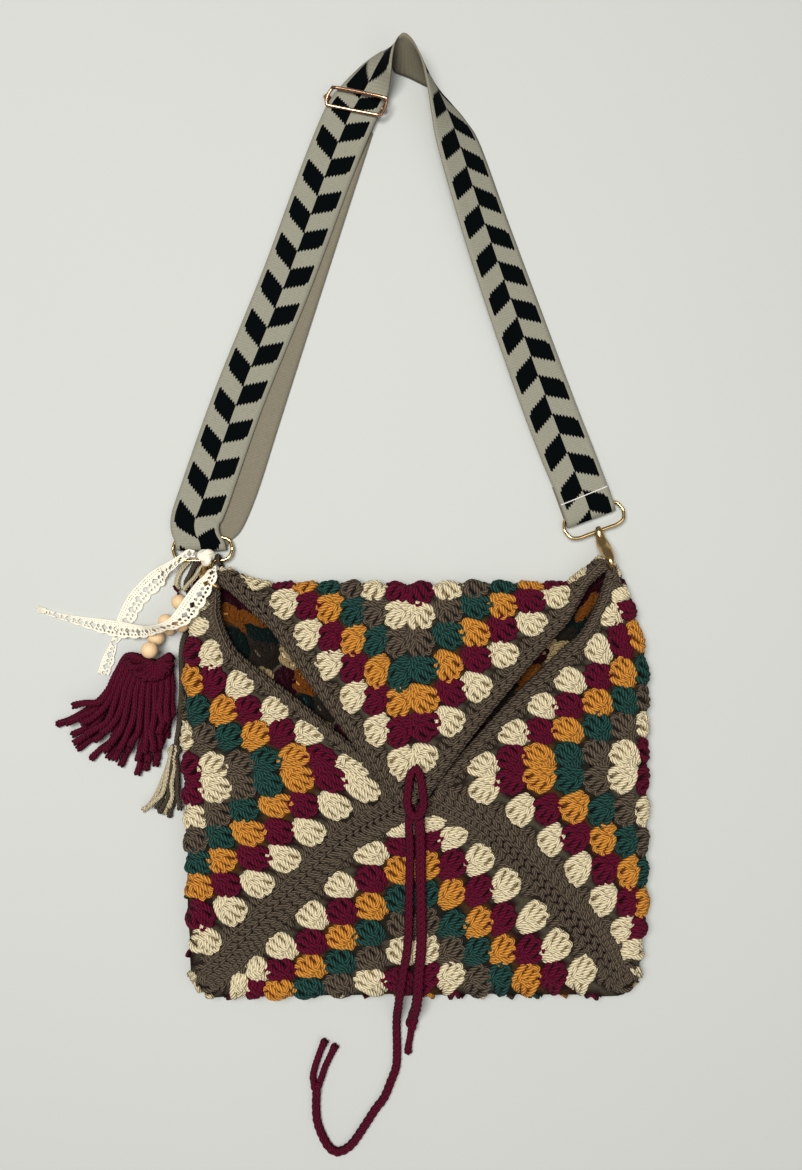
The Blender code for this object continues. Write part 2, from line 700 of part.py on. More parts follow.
def tie_cords(look):
    """The chained tie: a loop on the flap's tip, two strands, their knots and tails."""
    loop = [(-0.4, 21.8), (-3.8, 16.5), (-5.4, 6.0), (-6.0, -3.5), (-4.2, -10.5), (0.0, -13.4),
            (4.2, -10.5), (5.8, -3.5), (4.8, 6.0), (3.0, 16.5)]
    add_cord("tie_loop", [(x, y, LOOP_HEIGHT) for x, y in loop], TIE_RADIUS, look, 5.0, 3,
             closed=True)
    floor = TIE_RADIUS + 0.2
    long_route = [
        (-4.6, -19.6, 29.2), (-4.4, -28.6, 27.4), (-3.9, -40.3, 26.0), (-4.6, -75.8, 25.4),
        (-5.3, -105.3, 25.6), (-9.0, -129.7, 25.8), (-11.1, -143.2, 24.4), (-12.6, -157.0, 17.5),
        (-13.4, -165.6, 8.4), (-13.7, -175.2, 3.6), (-13.4, -193.2, floor),
        (-14.1, -205.8, floor), (-17.8, -216.2, floor), (-23.0, -228.8, floor),
        (-29.7, -237.7, floor), (-37.9, -250.4, floor), (-46.0, -262.2, floor),
        (-52.3, -267.4, floor), (-58.7, -268.9, floor), (-64.6, -264.5, floor),
        (-69.8, -254.8, floor), (-72.8, -245.2, floor), (-73.5, -234.8, floor),
        (-73.1, -226.0, 3.4),
    ]
    short_route = [
        (3.0, -19.8, 29.8), (3.4, -28.6, 28.0), (3.7, -40.3, 26.8), (4.0, -75.8, 26.0),
        (4.4, -105.3, 26.2), (2.4, -129.7, 26.4), (1.8, -143.2, 25.6), (0.4, -156.6, 19.6),
        (-1.2, -163.6, 11.5), (-1.9, -166.8, 8.0),
    ]
    add_cord("tie_long", long_route, TIE_RADIUS, look, 11.0, 2)
    add_cord("tie_short", short_route, TIE_WIDE_RADIUS, look, 11.0, 2)
    knots = {"tie_knot_long": (-73.0, -220.2, 4.8), "tie_knot_short": (-2.3, -172.8, 5.4)}
    for name, centre in knots.items():
        route = [np.array(centre) + (0, 4.6, 0), centre, np.array(centre) - (0, 4.6, 0)]
        add_tapered(name, route, [(2.4, 2.4), (4.6, 4.0), (5.2, 4.6), (4.6, 4.0), (2.4, 2.4)],
                    look, 2.3, 10)
    tails = {
        "tie_tail_a": [(-76.2, -214.2, 3.2), (-74.6, -207.0, floor), (-70.6, -195.0, floor),
                       (-66.6, -185.8, floor)],
        "tie_tail_b": [(-69.4, -213.8, 3.2), (-67.0, -206.5, floor), (-63.1, -198.2, floor),
                       (-58.9, -189.5, floor)],
        "tie_tail_c": [(-3.0, -179.3, 3.6), (-3.6, -184.0, floor), (-4.8, -190.0, floor),
                       (-5.2, -195.8, floor)],
    }
    for name, route in tails.items():
        add_cord(name, route, TIE_RADIUS, look, 6.0, 2)


def add_bead(name, centre, axis, radius, look):
    """A turned wooden bead with its hole along an axis."""
    count, rows = 12, 6
    turn = Vector((0, 0, 1)).rotation_difference(Vector(axis).normalized())
    limit = math.acos(BEAD_HOLE / radius)
    slopes = [limit * (2 * i / rows - 1) for i in range(rows + 1)]
    rings = []
    for i in range(count):
        angle = i * 2 * math.pi / count
        ring = [turn @ Vector((radius * math.cos(slope) * math.cos(angle),
                               radius * math.cos(slope) * math.sin(angle),
                               radius * math.sin(slope))) + Vector(centre) for slope in slopes]
        rings.append(np.array(ring))
    vertices, faces = join_rings(rings, closed=True)
    add_mesh(name, vertices, faces, look)


def beads(wood, yarn):
    """Six wooden beads above the large tassel, the first on its yarn."""
    table = [
        ("bead_1", (-174.6, 139.4, 6.0), 5.7, (0.1, -1.0, 0.0)),
        ("bead_2", (-182.4, 125.4, 16.0), 5.5, (-0.5, -1.0, 0.3)),
        ("bead_3", (-171.8, 123.2, 12.2), 6.0, (-1.0, -0.6, 0.0)),
        ("bead_4", (-182.0, 118.9, 4.8), 4.5, (-1.0, -0.5, 0.0)),
        ("bead_5", (-191.5, 113.2, 6.9), 6.3, (-0.7, -1.0, 0.0)),
        ("bead_6", (-194.6, 103.4, 20.0), 6.5, (-0.4, -1.0, -0.1)),
    ]
    for name, centre, radius, axis in table:
        add_bead(name, centre, axis, radius, wood)
    cord = [(-178.4, 151.6, 7.8), (-177.4, 149.4, 7.2), (-175.6, 147.4, 6.2), (-175.1, 144.4, 6.0),
            (-174.6, 139.4, 6.0), (-174.1, 134.4, 6.0), (-174.3, 131.6, 6.4)]
    add_cord("bead_cord", cord, 1.1, yarn, 3.0, 2)


def ring_yarns(taupe, cream, cranberry):
    """The yarn ends that hang from the left ring."""
    routes = {
        "yarn_cranberry": ([(-158.0, 166.2, 3.2), (-159.2, 160.6, 3.2), (-160.8, 156.2, 3.2),
                            (-163.0, 152.6, 3.2)], 2.7, cranberry),
        "yarn_cream": ([(-173.4, 163.4, 2.6), (-176.2, 157.6, 2.6), (-177.0, 151.6, 2.6),
                        (-176.2, 148.2, 2.6)], 2.1, cream),
        "yarn_pale": ([(-159.6, 161.8, 9.4), (-162.6, 157.4, 9.0), (-166.8, 153.2, 8.4),
                       (-171.0, 148.0, 8.6)], 1.8, cream),
        "yarn_taupe": ([(-143.6, 166.4, 10.6), (-145.2, 169.0, 10.3), (-145.8, 172.4, 8.9),
                        (-145.6, 173.6, 5.9), (-145.2, 171.6, 3.2), (-144.4, 168.0, 2.7),
                        (-143.4, 165.4, 3.6)], 1.9, taupe),
    }
    for name, (route, radius, look) in routes.items():
        add_cord(name, route, radius, look, 5.0, 2)
    route = [(-163.6, 166.6, 2.6), (-167.0, 159.5, 2.6), (-170.0, 153.0, 2.6),
             (-168.0, 146.0, 2.4), (-166.0, 138.0, 2.4), (-166.4, 128.0, 2.4),
             (-170.0, 117.0, 2.4), (-173.4, 104.0, 2.4), (-173.4, 74.1, 2.4),
             (-175.2, 48.8, 2.4), (-177.4, 33.4, 2.6)]
    add_cord("tassel_small_cord", route, 2.0, taupe, 8.0, 2)


def along(points, share):
    """A place part of the way along a line of points spaced evenly in share."""
    table = np.array(points, dtype=float)
    given = np.linspace(0.0, 1.0, len(table))
    return np.array([np.interp(share, given, table[:, i]) for i in range(table.shape[1])])


@dataclass(frozen=True)
class Tassel:
    """A tassel lying on the table: its tied head and its rows of strands."""

    name: str
    top: tuple
    roots: tuple
    ends: tuple
    columns: int
    rows: int
    head_half: tuple
    strand_half: float
    row_shortening: float

    def head_point(self, a, b, s):
        """A point of the head's skin: a across, b up, both from -1 to 1, s down its length."""
        share = (a * math.sqrt(1 - 0.25 * b * b) + 1) / 2
        plan = (1 - s) * along(self.top, share) + s * along(self.roots, share)
        half = along(np.array(self.head_half)[:, None], s)[0]
        rise = half * b * math.sqrt(1 - 0.35 * a * a)
        return np.array([plan[0], plan[1], half + 0.2 + rise])

    def build(self, look):
        """Make the head and its strands as one solid."""
        columns, rows = self.columns, self.rows
        edge = [(i, 0) for i in range(columns)] + [(columns, j) for j in range(rows)]
        edge += [(columns - i, rows) for i in range(columns)] + [(0, rows - j) for j in range(rows)]
        corners = [(2 * i / columns - 1, 2 * j / rows - 1) for i, j in edge]
        rings = [np.array([self.head_point(a, b, s) for a, b in corners])
                 for s in (0.0, 0.3, 0.65, 1.0)]
        vertices, faces = join_rings(rings)
        faces.pop()
        vertices = list(vertices)
        last = 3 * len(corners)
        grid = {place: last + number for number, place in enumerate(edge)}
        for i in range(1, columns):
            for j in range(1, rows):
                grid[(i, j)] = len(vertices)
                vertices.append(self.head_point(2 * i / columns - 1, 2 * j / rows - 1, 1.0))
        for i in range(columns):
            for j in range(rows):
                cell = [grid[(i, j)], grid[(i + 1, j)], grid[(i + 1, j + 1)], grid[(i, j + 1)]]
                ring = self.grow(vertices, faces, cell, i, j)
                faces.append(tuple(ring))
        add_mesh(self.name, np.array(vertices), faces, look)

    def grow(self, vertices, faces, cell, i, j):
        """Add one strand from its cell of the head, and give the ring at its end."""
        root = np.mean([vertices[k] for k in cell], axis=0)
        stagger = 0.5 * (j % 2)
        share = (i + 0.25 + stagger) / self.columns
        end = along(self.ends, share)
        reach = np.array([end[0], end[1]]) - root[:2]
        distance = np.linalg.norm(reach)
        direction = np.array([*(reach / distance), 0.0])
        across = np.cross([0.0, 0.0, 1.0], direction)
        length = distance - self.row_shortening * j - 3.0 * ((i * 2 + j) % 3)
        half = self.strand_half
        height = half + 0.15 + j * (2 * half + 0.5)
        ring = cell
        for step, (place, size) in enumerate(((0.0, 0.88), (0.3, 1.0), (0.65, 1.05), (1.0, 0.9))):
            centre = root + direction * (length * place)
            centre[2] = root[2] + (height - root[2]) * smooth(place / 0.3)
            if step == 0:
                points = [root + (vertices[k] - root) * 0.84 for k in cell]
                if self.crossed(points, across):
                    size = -size
            else:
                points = [centre + across * (half * size * sx) + np.array([0, 0, half * sz])
                          for sx, sz in self.order(cell, vertices, root, across)]
            start = len(vertices)
            vertices.extend(points)
            new = list(range(start, start + 4))
            for k in range(4):
                m = (k + 1) % 4
                faces.append((ring[k], ring[m], new[m], new[k]))
            ring = new
        return ring

    @staticmethod
    def crossed(points, across):
        """Whether a cell runs against the across direction."""
        return bool((points[1] - points[0]) @ across < 0)

    @staticmethod
    def order(cell, vertices, root, across):
        """The corner signs of a strand's section, in its cell's own order."""
        signs = []
        for k in cell:
            offset = vertices[k] - root
            signs.append((1 if offset @ across > 0 else -1, 1 if offset[2] > 0 else -1))
        return signs


TASSELS = {
    "tassel_large": Tassel(
        "tassel_large",
        top=((-204.5, 106.5), (-198.0, 105.0), (-193.0, 103.5), (-186.0, 104.0)),
        roots=((-226.5, 91.0), (-219.5, 80.0), (-210.0, 74.5), (-200.0, 72.5), (-189.0, 73.5),
               (-179.6, 77.0)),
        ends=((-269.5, 54.0), (-259.0, 36.0), (-248.0, 26.5), (-236.0, 20.0), (-222.0, 15.5),
              (-210.0, 12.0), (-200.0, 9.0), (-192.5, 17.5), (-187.0, 28.0), (-180.6, 41.0)),
        columns=10, rows=3, head_half=(4.6, 6.4, 7.0, 6.9), strand_half=2.1,
        row_shortening=7.0),
    "tassel_small": Tassel(
        "tassel_small",
        top=((-180.6, 30.0), (-177.6, 30.4)),
        roots=((-184.4, 19.0), (-179.6, 16.6), (-175.6, 17.6)),
        ends=((-206.0, -14.0), (-196.0, -19.5), (-188.0, -22.0), (-181.0, -22.0), (-175.6, -20.0)),
        columns=3, rows=2, head_half=(2.4, 4.0, 4.0), strand_half=1.8, row_shortening=3.0),
}


def lace(look):
    """The lace ribbon tied to the left ring: its knot and its two tails."""
    centre = np.array([-153.0, 172.6, 15.9])
    add_tapered("lace_knot", [centre + (0, 6.8, -0.6), centre, centre - (0, 6.8, 0.6)],
                [(2.6, 2.4), (6.2, 4.6), (7.2, 5.3), (6.4, 4.8), (2.8, 2.6)], look, 2.5, 12)
    over_bag = [
        ((-150.6, 162.6, 21.0), (-145.0, 166.2, 20.0)), ((-153.0, 158.6, 25.4), (-143.2, 158.2, 25.4)),
        ((-158.0, 154.0, 26.4), (-146.6, 149.0, 26.4)), ((-165.5, 144.5, 26.0), (-152.8, 137.0, 26.0)),
        ((-173.0, 133.8, 25.6), (-161.0, 126.6, 25.0)), ((-178.5, 127.0, 28.0), (-170.0, 121.0, 24.0)),
        ((-185.5, 123.6, 28.5), (-180.0, 119.0, 23.6)), ((-193.0, 122.4, 22.0), (-189.0, 116.0, 18.5)),
        ((-203.5, 122.5, 10.5), (-200.5, 113.0, 10.0)), ((-219.0, 125.0, 3.8), (-218.0, 112.6, 3.8)),
        ((-233.5, 126.8, 1.9), (-232.5, 115.8, 1.9)), ((-248.0, 128.4, 0.9), (-247.5, 120.8, 0.9)),
        ((-262.0, 130.6, 0.9), (-261.0, 125.6, 0.9)), ((-277.5, 134.6, 0.9), (-276.5, 130.6, 0.9)),
    ]
    add_band("lace_tail_a", over_bag, LACE_THICKNESS, look, 7.0)
    on_table = [
        ((-161.4, 177.4, 16.0), (-160.9, 172.4, 16.0)), ((-167.0, 178.0, 13.4), (-166.6, 171.4, 13.4)),
        ((-173.0, 174.0, 11.8), (-174.5, 166.0, 11.4)), ((-182.4, 168.8, 8.4), (-183.4, 158.4, 6.6)),
        ((-195.4, 162.4, 2.2), (-186.6, 151.6, 2.2)), ((-205.3, 153.5, 0.7), (-195.7, 143.5, 0.7)),
        ((-213.6, 143.7, 0.7), (-202.4, 135.3, 0.7)), ((-220.7, 130.0, 0.7), (-209.3, 124.0, 0.7)),
        ((-224.0, 118.2, 0.7), (-217.0, 114.0, 0.7)), ((-226.8, 108.6, 0.7), (-221.8, 107.0, 0.7)),
        ((-231.2, 97.4, 0.7), (-224.0, 95.0, 0.7)), ((-234.4, 89.6, 0.7), (-228.6, 91.0, 0.7)),
    ]
    add_band("lace_tail_b", on_table, LACE_THICKNESS, look, 7.0)


def main():
    """Build every piece of the bag."""
    clear_scene()
    taupe = material("taupe_yarn", (0.16, 0.12, 0.09), 0.95)
    cream = material("cream_yarn", (0.72, 0.65, 0.48), 0.95)
    cranberry = material("cranberry_yarn", (0.17, 0.01, 0.05), 0.95)
    vertices, faces = bag_body()
    add_mesh("bag_body", vertices, faces, taupe)
    strap(material("webbing", (0.55, 0.5, 0.4), 0.9))
    hardware(material("gold_wire", (0.8, 0.6, 0.3), 0.25, 1.0),
             material("rose_wire", (0.7, 0.4, 0.28), 0.3, 1.0))
    tie_cords(cranberry)
    beads(material("wood", (0.69, 0.46, 0.26), 0.6), cranberry)
    ring_yarns(taupe, cream, cranberry)
    TASSELS["tassel_large"].build(cranberry)
    TASSELS["tassel_small"].build(cream)
    lace(material("lace", (0.78, 0.7, 0.55), 0.9))


main()
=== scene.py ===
"""Looks for the granny square bag: crochet, webbing, wire, beads, lace, ties and tassels.

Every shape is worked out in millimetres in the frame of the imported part, with +Z up off the
table and +Y up the bag towards its strap, and goes into its mesh in metres.
"""

from __future__ import annotations

import logging
import math
from dataclasses import dataclass, field
from enum import Enum
from functools import cached_property

import bpy
import numpy as np
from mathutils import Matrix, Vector

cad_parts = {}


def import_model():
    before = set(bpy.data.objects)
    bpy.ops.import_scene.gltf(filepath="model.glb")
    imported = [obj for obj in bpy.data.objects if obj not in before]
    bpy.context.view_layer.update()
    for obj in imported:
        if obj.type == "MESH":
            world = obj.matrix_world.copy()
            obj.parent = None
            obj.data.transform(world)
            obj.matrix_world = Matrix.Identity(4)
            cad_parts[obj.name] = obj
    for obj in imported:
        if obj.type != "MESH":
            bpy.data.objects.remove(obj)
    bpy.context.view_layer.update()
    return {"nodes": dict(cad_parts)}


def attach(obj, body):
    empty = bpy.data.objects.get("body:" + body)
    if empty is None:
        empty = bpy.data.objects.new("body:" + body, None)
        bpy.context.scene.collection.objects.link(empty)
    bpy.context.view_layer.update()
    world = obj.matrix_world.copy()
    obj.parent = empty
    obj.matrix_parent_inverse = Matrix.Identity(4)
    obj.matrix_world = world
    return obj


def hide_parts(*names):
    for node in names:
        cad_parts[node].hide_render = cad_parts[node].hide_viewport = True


LOG = logging.getLogger("granny_bag")
MM = 0.001
SEED = 41
Array = np.ndarray
Tree = bpy.types.NodeTree
Socket = bpy.types.NodeSocket
Material = bpy.types.Material
Piece = bpy.types.Object


def smooth(x: Array) -> Array:
    """Ease from 0 to 1: 3x² − 2x³ of x held between 0 and 1."""
    x = np.clip(x, 0.0, 1.0)
    return x * x * (3.0 - 2.0 * x)


def unit(vectors: Array) -> Array:
    """Vectors divided by their lengths."""
    return vectors / np.maximum(np.linalg.norm(vectors, axis=-1, keepdims=True), 1e-9)


def linear(code: str, gain: float = 1.0) -> tuple[float, float, float, float]:
    """Turn an sRGB hex colour to linear light.

    Args:
        code: Six hex digits.
        gain: What the linear values are multiplied by.

    Returns:
        Red, green, blue and full opacity.
    """
    values = [int(code[i:i + 2], 16) / 255 for i in (0, 2, 4)]
    lights = [v / 12.92 if v <= 0.04045 else ((v + 0.055) / 1.055) ** 2.4 for v in values]
    return (*(light * gain for light in lights), 1.0)


def add_node(tree: Tree, kind: str, inputs: dict | None = None, **settings: object) -> bpy.types.Node:
    """Add one shader node with its settings and links.

    Args:
        tree: The material's node tree.
        kind: The node's Blender type.
        inputs: Socket name or number to a plain value, or to an output socket to link.
        **settings: The node's own properties.

    Returns:
        The node.
    """
    node = tree.nodes.new(kind)
    for name, value in settings.items():
        setattr(node, name, value)
    for key, value in (inputs or {}).items():
        if isinstance(value, Socket):
            tree.links.new(value, node.inputs[key])
        else:
            node.inputs[key].default_value = value
    return node


def maths(tree: Tree, operation: str, *values: object) -> Socket:
    """Add one Math node on plain values or sockets, and give its result."""
    inputs = dict(enumerate(values))
    return add_node(tree, "ShaderNodeMath", inputs, operation=operation).outputs[0]


def blend_colour(tree: Tree, share: object, low: object, high: object) -> Socket:
    """Mix two colours by a share, and give the mixed colour."""
    node = add_node(tree, "ShaderNodeMix", {0: share, 6: low, 7: high}, data_type="RGBA")
    return node.outputs[2]


def start_material(name: str, roughness: float, metallic: float = 0.0, sheen: float = 0.0,
                   gloss: float = 0.5) -> tuple[Material, bpy.types.Node]:
    """Start a Principled material with its plain numbers on the shader's own sockets."""
    made = bpy.data.materials.new(name)
    made.use_nodes = True
    shader = made.node_tree.nodes["Principled BSDF"]
    shader.inputs["Roughness"].default_value = roughness
    shader.inputs["Metallic"].default_value = metallic
    shader.inputs["Sheen Weight"].default_value = sheen
    shader.inputs["Specular IOR Level"].default_value = gloss
    return made, shader


def own_place(tree: Tree) -> Socket:
    """The place on the object itself."""
    return add_node(tree, "ShaderNodeTexCoord").outputs["Object"]


def own_noise(tree: Tree, size_mm: float, detail: float = 2.0) -> Socket:
    """Noise on the object's own place, from 0 to 1, its grains of about the given size."""
    inputs = {"Vector": own_place(tree), "Scale": 1 / (size_mm * MM), "Detail": detail}
    return add_node(tree, "ShaderNodeTexNoise", inputs).outputs[0]


def own_bands(tree: Tree, size_mm: float, direction: str, **more: float) -> Socket:
    """Wavy bands on the object's own place, from 0 to 1, one to each size_mm or so."""
    inputs = {"Vector": own_place(tree), "Scale": 0.3 / (size_mm * MM), **more}
    return add_node(tree, "ShaderNodeTexWave", inputs, wave_type="BANDS",
                    bands_direction=direction).outputs[1]


def lay_parts(tree: Tree) -> tuple[Socket, Socket]:
    """The two numbers of the UV map named lay."""
    lay = add_node(tree, "ShaderNodeUVMap", uv_map="lay")
    parts = add_node(tree, "ShaderNodeSeparateXYZ", {0: lay.outputs[0]})
    return parts.outputs[0], parts.outputs[1]


def wave_share(tree: Tree, phase: Socket) -> Socket:
    """Give 0.5 + 0.5 sin of a phase."""
    return maths(tree, "MULTIPLY_ADD", maths(tree, "SINE", phase), 0.5, 0.5)


def dress(shader: bpy.types.Node, colour: Socket, height: Socket | None = None,
          strength: float = 0.0, depth_mm: float = 0.0) -> None:
    """Link a colour to a shader and, where a height is given, a bump."""
    tree = shader.id_data
    tree.links.new(colour, shader.inputs["Base Color"])
    if height is not None:
        bump = add_node(tree, "ShaderNodeBump",
                        {"Strength": strength, "Distance": depth_mm * MM, "Height": height})
        tree.links.new(bump.outputs[0], shader.inputs["Normal"])


@dataclass(frozen=True)
class Yarn:
    """Bulky plied acrylic yarn: matte, with slanted plies, loose fibres and painted shade.

    Its UV map holds the share of a turn round the strand and the millimetres along it. A quarter
    turn is on the outside of the cloth. Shade is painted in: darker between the plies, on the
    sides of the strand and on its underside.
    """

    name: str
    shade: str
    painted_shade_colour: str
    plies: float = 5.0
    shadow: float = 0.3
    side_shade: float = 0.60
    ply_shade: float = 0.80
    lay_mm: float = 15.0
    fibre_mm: float = 0.5
    fibre_share: float = 0.16
    cloud_mm: float = 14.0
    worn_share: float = 0.06

    def build(self) -> Material:
        """Make the material.

        The ply wave is 0.5 + 0.5 sin of plies × (turn + along ÷ lay) whole turns. The share of the
        yarn's own colour over its painted shade colour is ply_shade × wave + side_shade × sin(turn)
        − shadow + fibre_share × fibre, which paints shade between the plies, on the sides and
        underneath.
        """
        made, shader = start_material(self.name, 0.95, sheen=0.02, gloss=0.03)
        tree = made.node_tree
        around, run = lay_parts(tree)
        turn = maths(tree, "MULTIPLY", around, self.plies)
        along = maths(tree, "DIVIDE", run, self.lay_mm / self.plies)
        phase = maths(tree, "MULTIPLY", maths(tree, "ADD", turn, along), math.tau)
        wave = wave_share(tree, phase)
        # Painted shade: sin(turn) is 1 on top of the strand and −1 beneath, so its sides and underside are
        # painted darker.
        facing = maths(tree, "SINE", maths(tree, "MULTIPLY", around, math.tau))
        outside = maths(tree, "MULTIPLY_ADD", facing, self.side_shade, -self.shadow)
        fibre = own_noise(tree, self.fibre_mm, 3.0)
        cloud = own_noise(tree, self.cloud_mm)
        share = maths(tree, "MULTIPLY_ADD", wave, self.ply_shade, outside)
        share = maths(tree, "MULTIPLY_ADD", fibre, self.fibre_share, share)
        colour = blend_colour(tree, share, linear(self.painted_shade_colour), linear(self.shade))
        worn = blend_colour(tree, cloud, linear(self.shade, 0.6), linear(self.shade, 1.0))
        mixed = blend_colour(tree, self.worn_share, colour, worn)
        dress(shader, mixed, maths(tree, "MULTIPLY_ADD", fibre, 0.2, wave), 1.0, 0.9)
        return made


@dataclass(frozen=True)
class Ground:
    """The inside of the crochet between its stitches: the stitch's own yarn, painted in deep shade."""

    name: str
    depth: float = 0.05
    shadow: tuple = (0.007, 0.005, 0.004, 1.0)

    def build(self) -> Material:
        """Make the material from the point colours in the attribute named shade."""
        made, shader = start_material(self.name, 0.95, gloss=0.05)
        tree = made.node_tree
        colour = add_node(tree, "ShaderNodeAttribute", attribute_name="shade").outputs[0]
        noise = own_noise(tree, 1.4, 3.0)
        # Painted shade: the yarn colour is darkened almost to black, and noise mixes in a little more of
        # it.
        dark = blend_colour(tree, 0.97, colour, self.shadow)
        half = blend_colour(tree, self.depth, dark, colour)
        dress(shader, blend_colour(tree, noise, dark, half), noise, 0.8, 1.0)
        return made


@dataclass(frozen=True)
class Webbing:
    """Woven polyester webbing: fine ribs across, and on its face dark slanted blocks.

    Its UV map holds millimetres along the band and millimetres off its middle. A block's slanted
    sides have the small teeth of the weave.
    """

    name: str
    light: str
    dark: str
    patterned: bool
    pitch: float = 30.6
    slope: float = 0.59
    block_half: float = 16.0
    black_share: float = 0.53
    tooth: float = 2.1
    tooth_depth: float = 1.9
    corner: float = 2.4
    corner_cut: float = 1.1
    phase: float = -11.9
    rib: float = 1.9
    warp: float = 0.9
    grain_mm: float = 1.3
    cloud_mm: float = 25.0

    def build(self) -> Material:
        """Make the material: dark where along − slope·|off| + teeth is in its share of a pitch."""
        made, shader = start_material(self.name, 0.92, gloss=0.04)
        tree = made.node_tree
        along, off = lay_parts(tree)
        noise = own_noise(tree, self.grain_mm, 3.0)
        cloud = own_noise(tree, self.cloud_mm)
        ribs = wave_share(tree, maths(tree, "MULTIPLY", along, 2 * math.pi / self.rib))
        warps = wave_share(tree, maths(tree, "MULTIPLY", off, 2 * math.pi / self.warp))
        weave = maths(tree, "MULTIPLY", ribs, warps)
        fleck = maths(tree, "MULTIPLY_ADD", noise, 0.6, maths(tree, "MULTIPLY", weave, 0.4))
        colour = blend_colour(tree, fleck, linear(self.light, 0.62), linear(self.light, 1.3))
        colour = blend_colour(tree, maths(tree, "MULTIPLY", cloud, 0.3), colour,
                              linear(self.light, 0.8))
        if self.patterned:
            ink = blend_colour(tree, noise, linear(self.dark, 0.8), linear(self.dark, 1.5))
            colour = blend_colour(tree, self.blocks(tree, along, off), colour, ink)
        dress(shader, colour, fleck, 0.6, 0.3)
        return made

    def blocks(self, tree: Tree, along: Socket, off: Socket) -> Socket:
        """Give 1 inside a dark block and 0 outside it."""
        away = maths(tree, "ABSOLUTE", off)
        teeth = maths(tree, "PINGPONG", away, self.tooth / 2)
        slanted = maths(tree, "MULTIPLY_ADD", away, -self.slope, along)
        slanted = maths(tree, "MULTIPLY_ADD", teeth, self.tooth_depth / (self.tooth / 2), slanted)
        side = maths(tree, "GREATER_THAN", off, 0.0)
        shifted = maths(tree, "MULTIPLY_ADD", side, self.pitch / 2, slanted)
        shifted = maths(tree, "ADD", shifted, self.phase + 100 * self.pitch)
        turn = maths(tree, "FRACT", maths(tree, "DIVIDE", shifted, self.pitch))
        inside = maths(tree, "LESS_THAN", turn, self.black_share)
        within = maths(tree, "LESS_THAN", away, self.block_half)
        past = maths(tree, "SUBTRACT", away, self.block_half - self.corner)
        cut = maths(tree, "MULTIPLY", past, self.corner_cut / self.pitch)
        whole = maths(tree, "GREATER_THAN", turn, cut)
        return maths(tree, "MULTIPLY", maths(tree, "MULTIPLY", inside, within), whole)


@dataclass(frozen=True)
class Plating:
    """Polished plated zinc wire: a clear gloss with faint handling marks."""

    name: str
    shade: str
    roughness: float = 0.2
    roughness_range: float = 0.06

    def build(self) -> Material:
        """Make the material; fine noise lifts and lowers its roughness."""
        made, shader = start_material(self.name, self.roughness, metallic=1.0)
        tree = made.node_tree
        noise = own_noise(tree, 8.0)
        rough = maths(tree, "MULTIPLY_ADD", noise, self.roughness_range,
                      self.roughness - self.roughness_range / 2)
        tree.links.new(rough, shader.inputs["Roughness"])
        dress(shader, blend_colour(tree, noise, linear(self.shade, 0.94), linear(self.shade, 1.05)))
        return made


@dataclass(frozen=True)
class TurnedWood:
    """Unvarnished turned maple: pale, with faint growth rings."""

    name: str
    shade: str
    ring_mm: float = 1.6

    def build(self) -> Material:
        """Make the material from wavy bands on the object's own place."""
        made, shader = start_material(self.name, 0.55)
        tree = made.node_tree
        bands = own_bands(tree, self.ring_mm, "X",
                          **{"Distortion": 5.0, "Detail": 3.0, "Detail Scale": 1.5})
        share = maths(tree, "MULTIPLY", bands, 0.35)
        colour = blend_colour(tree, share, linear(self.shade, 1.05), linear(self.shade, 0.75))
        dress(shader, colour, bands, 0.15, 0.2)
        return made


@dataclass(frozen=True)
class CottonThread:
    """Matte twisted cotton: its threads show as fine slanted ribs."""

    name: str
    shade: str
    thread_mm: float = 1.1

    def build(self) -> Material:
        """Make the material from wavy slanted bands."""
        made, shader = start_material(self.name, 0.92, gloss=0.12)
        tree = made.node_tree
        bands = own_bands(tree, self.thread_mm, "DIAGONAL", Distortion=2.0)
        colour = blend_colour(tree, bands, linear(self.shade, 0.84), linear(self.shade, 1.04))
        dress(shader, colour, bands, 0.4, 0.25)
        return made


@dataclass(frozen=True)
class PaleBoard:
    """A plain matte tabletop."""

    name: str
    shade: str
    cloud_mm: float = 250.0

    def build(self) -> Material:
        """Make the material, with a very faint cloudiness."""
        made, shader = start_material(self.name, 0.8)
        tree = made.node_tree
        noise = own_noise(tree, self.cloud_mm)
        dress(shader, blend_colour(tree, noise, linear(self.shade, 0.985), linear(self.shade, 1.015)))
        return made


class Shade(Enum):
    """The five yarn colours, in the order in which the rounds repeat them."""

    CREAM = 0
    TAUPE = 1
    TEAL = 2
    GOLD = 3
    CRANBERRY = 4


# Each yarn: its name, its own colour, and the darker colour painted into it as shade.
YARNS = {
    Shade.CREAM: Yarn("acrylic_yarn_cream", "dccfac", "7d6842", shadow=0.2),
    Shade.TAUPE: Yarn("acrylic_yarn_taupe", "66594a", "100b07", shadow=0.5),
    Shade.TEAL: Yarn("acrylic_yarn_teal", "284f48", "010706", shadow=0.5),
    Shade.GOLD: Yarn("acrylic_yarn_gold", "d08c38", "522704", shadow=0.32),
    Shade.CRANBERRY: Yarn("acrylic_yarn_cranberry", "600e2a", "160006", shadow=0.34),
}

# The materials made from the yarns, by shade; main() fills it in.
FINISH: dict = {}


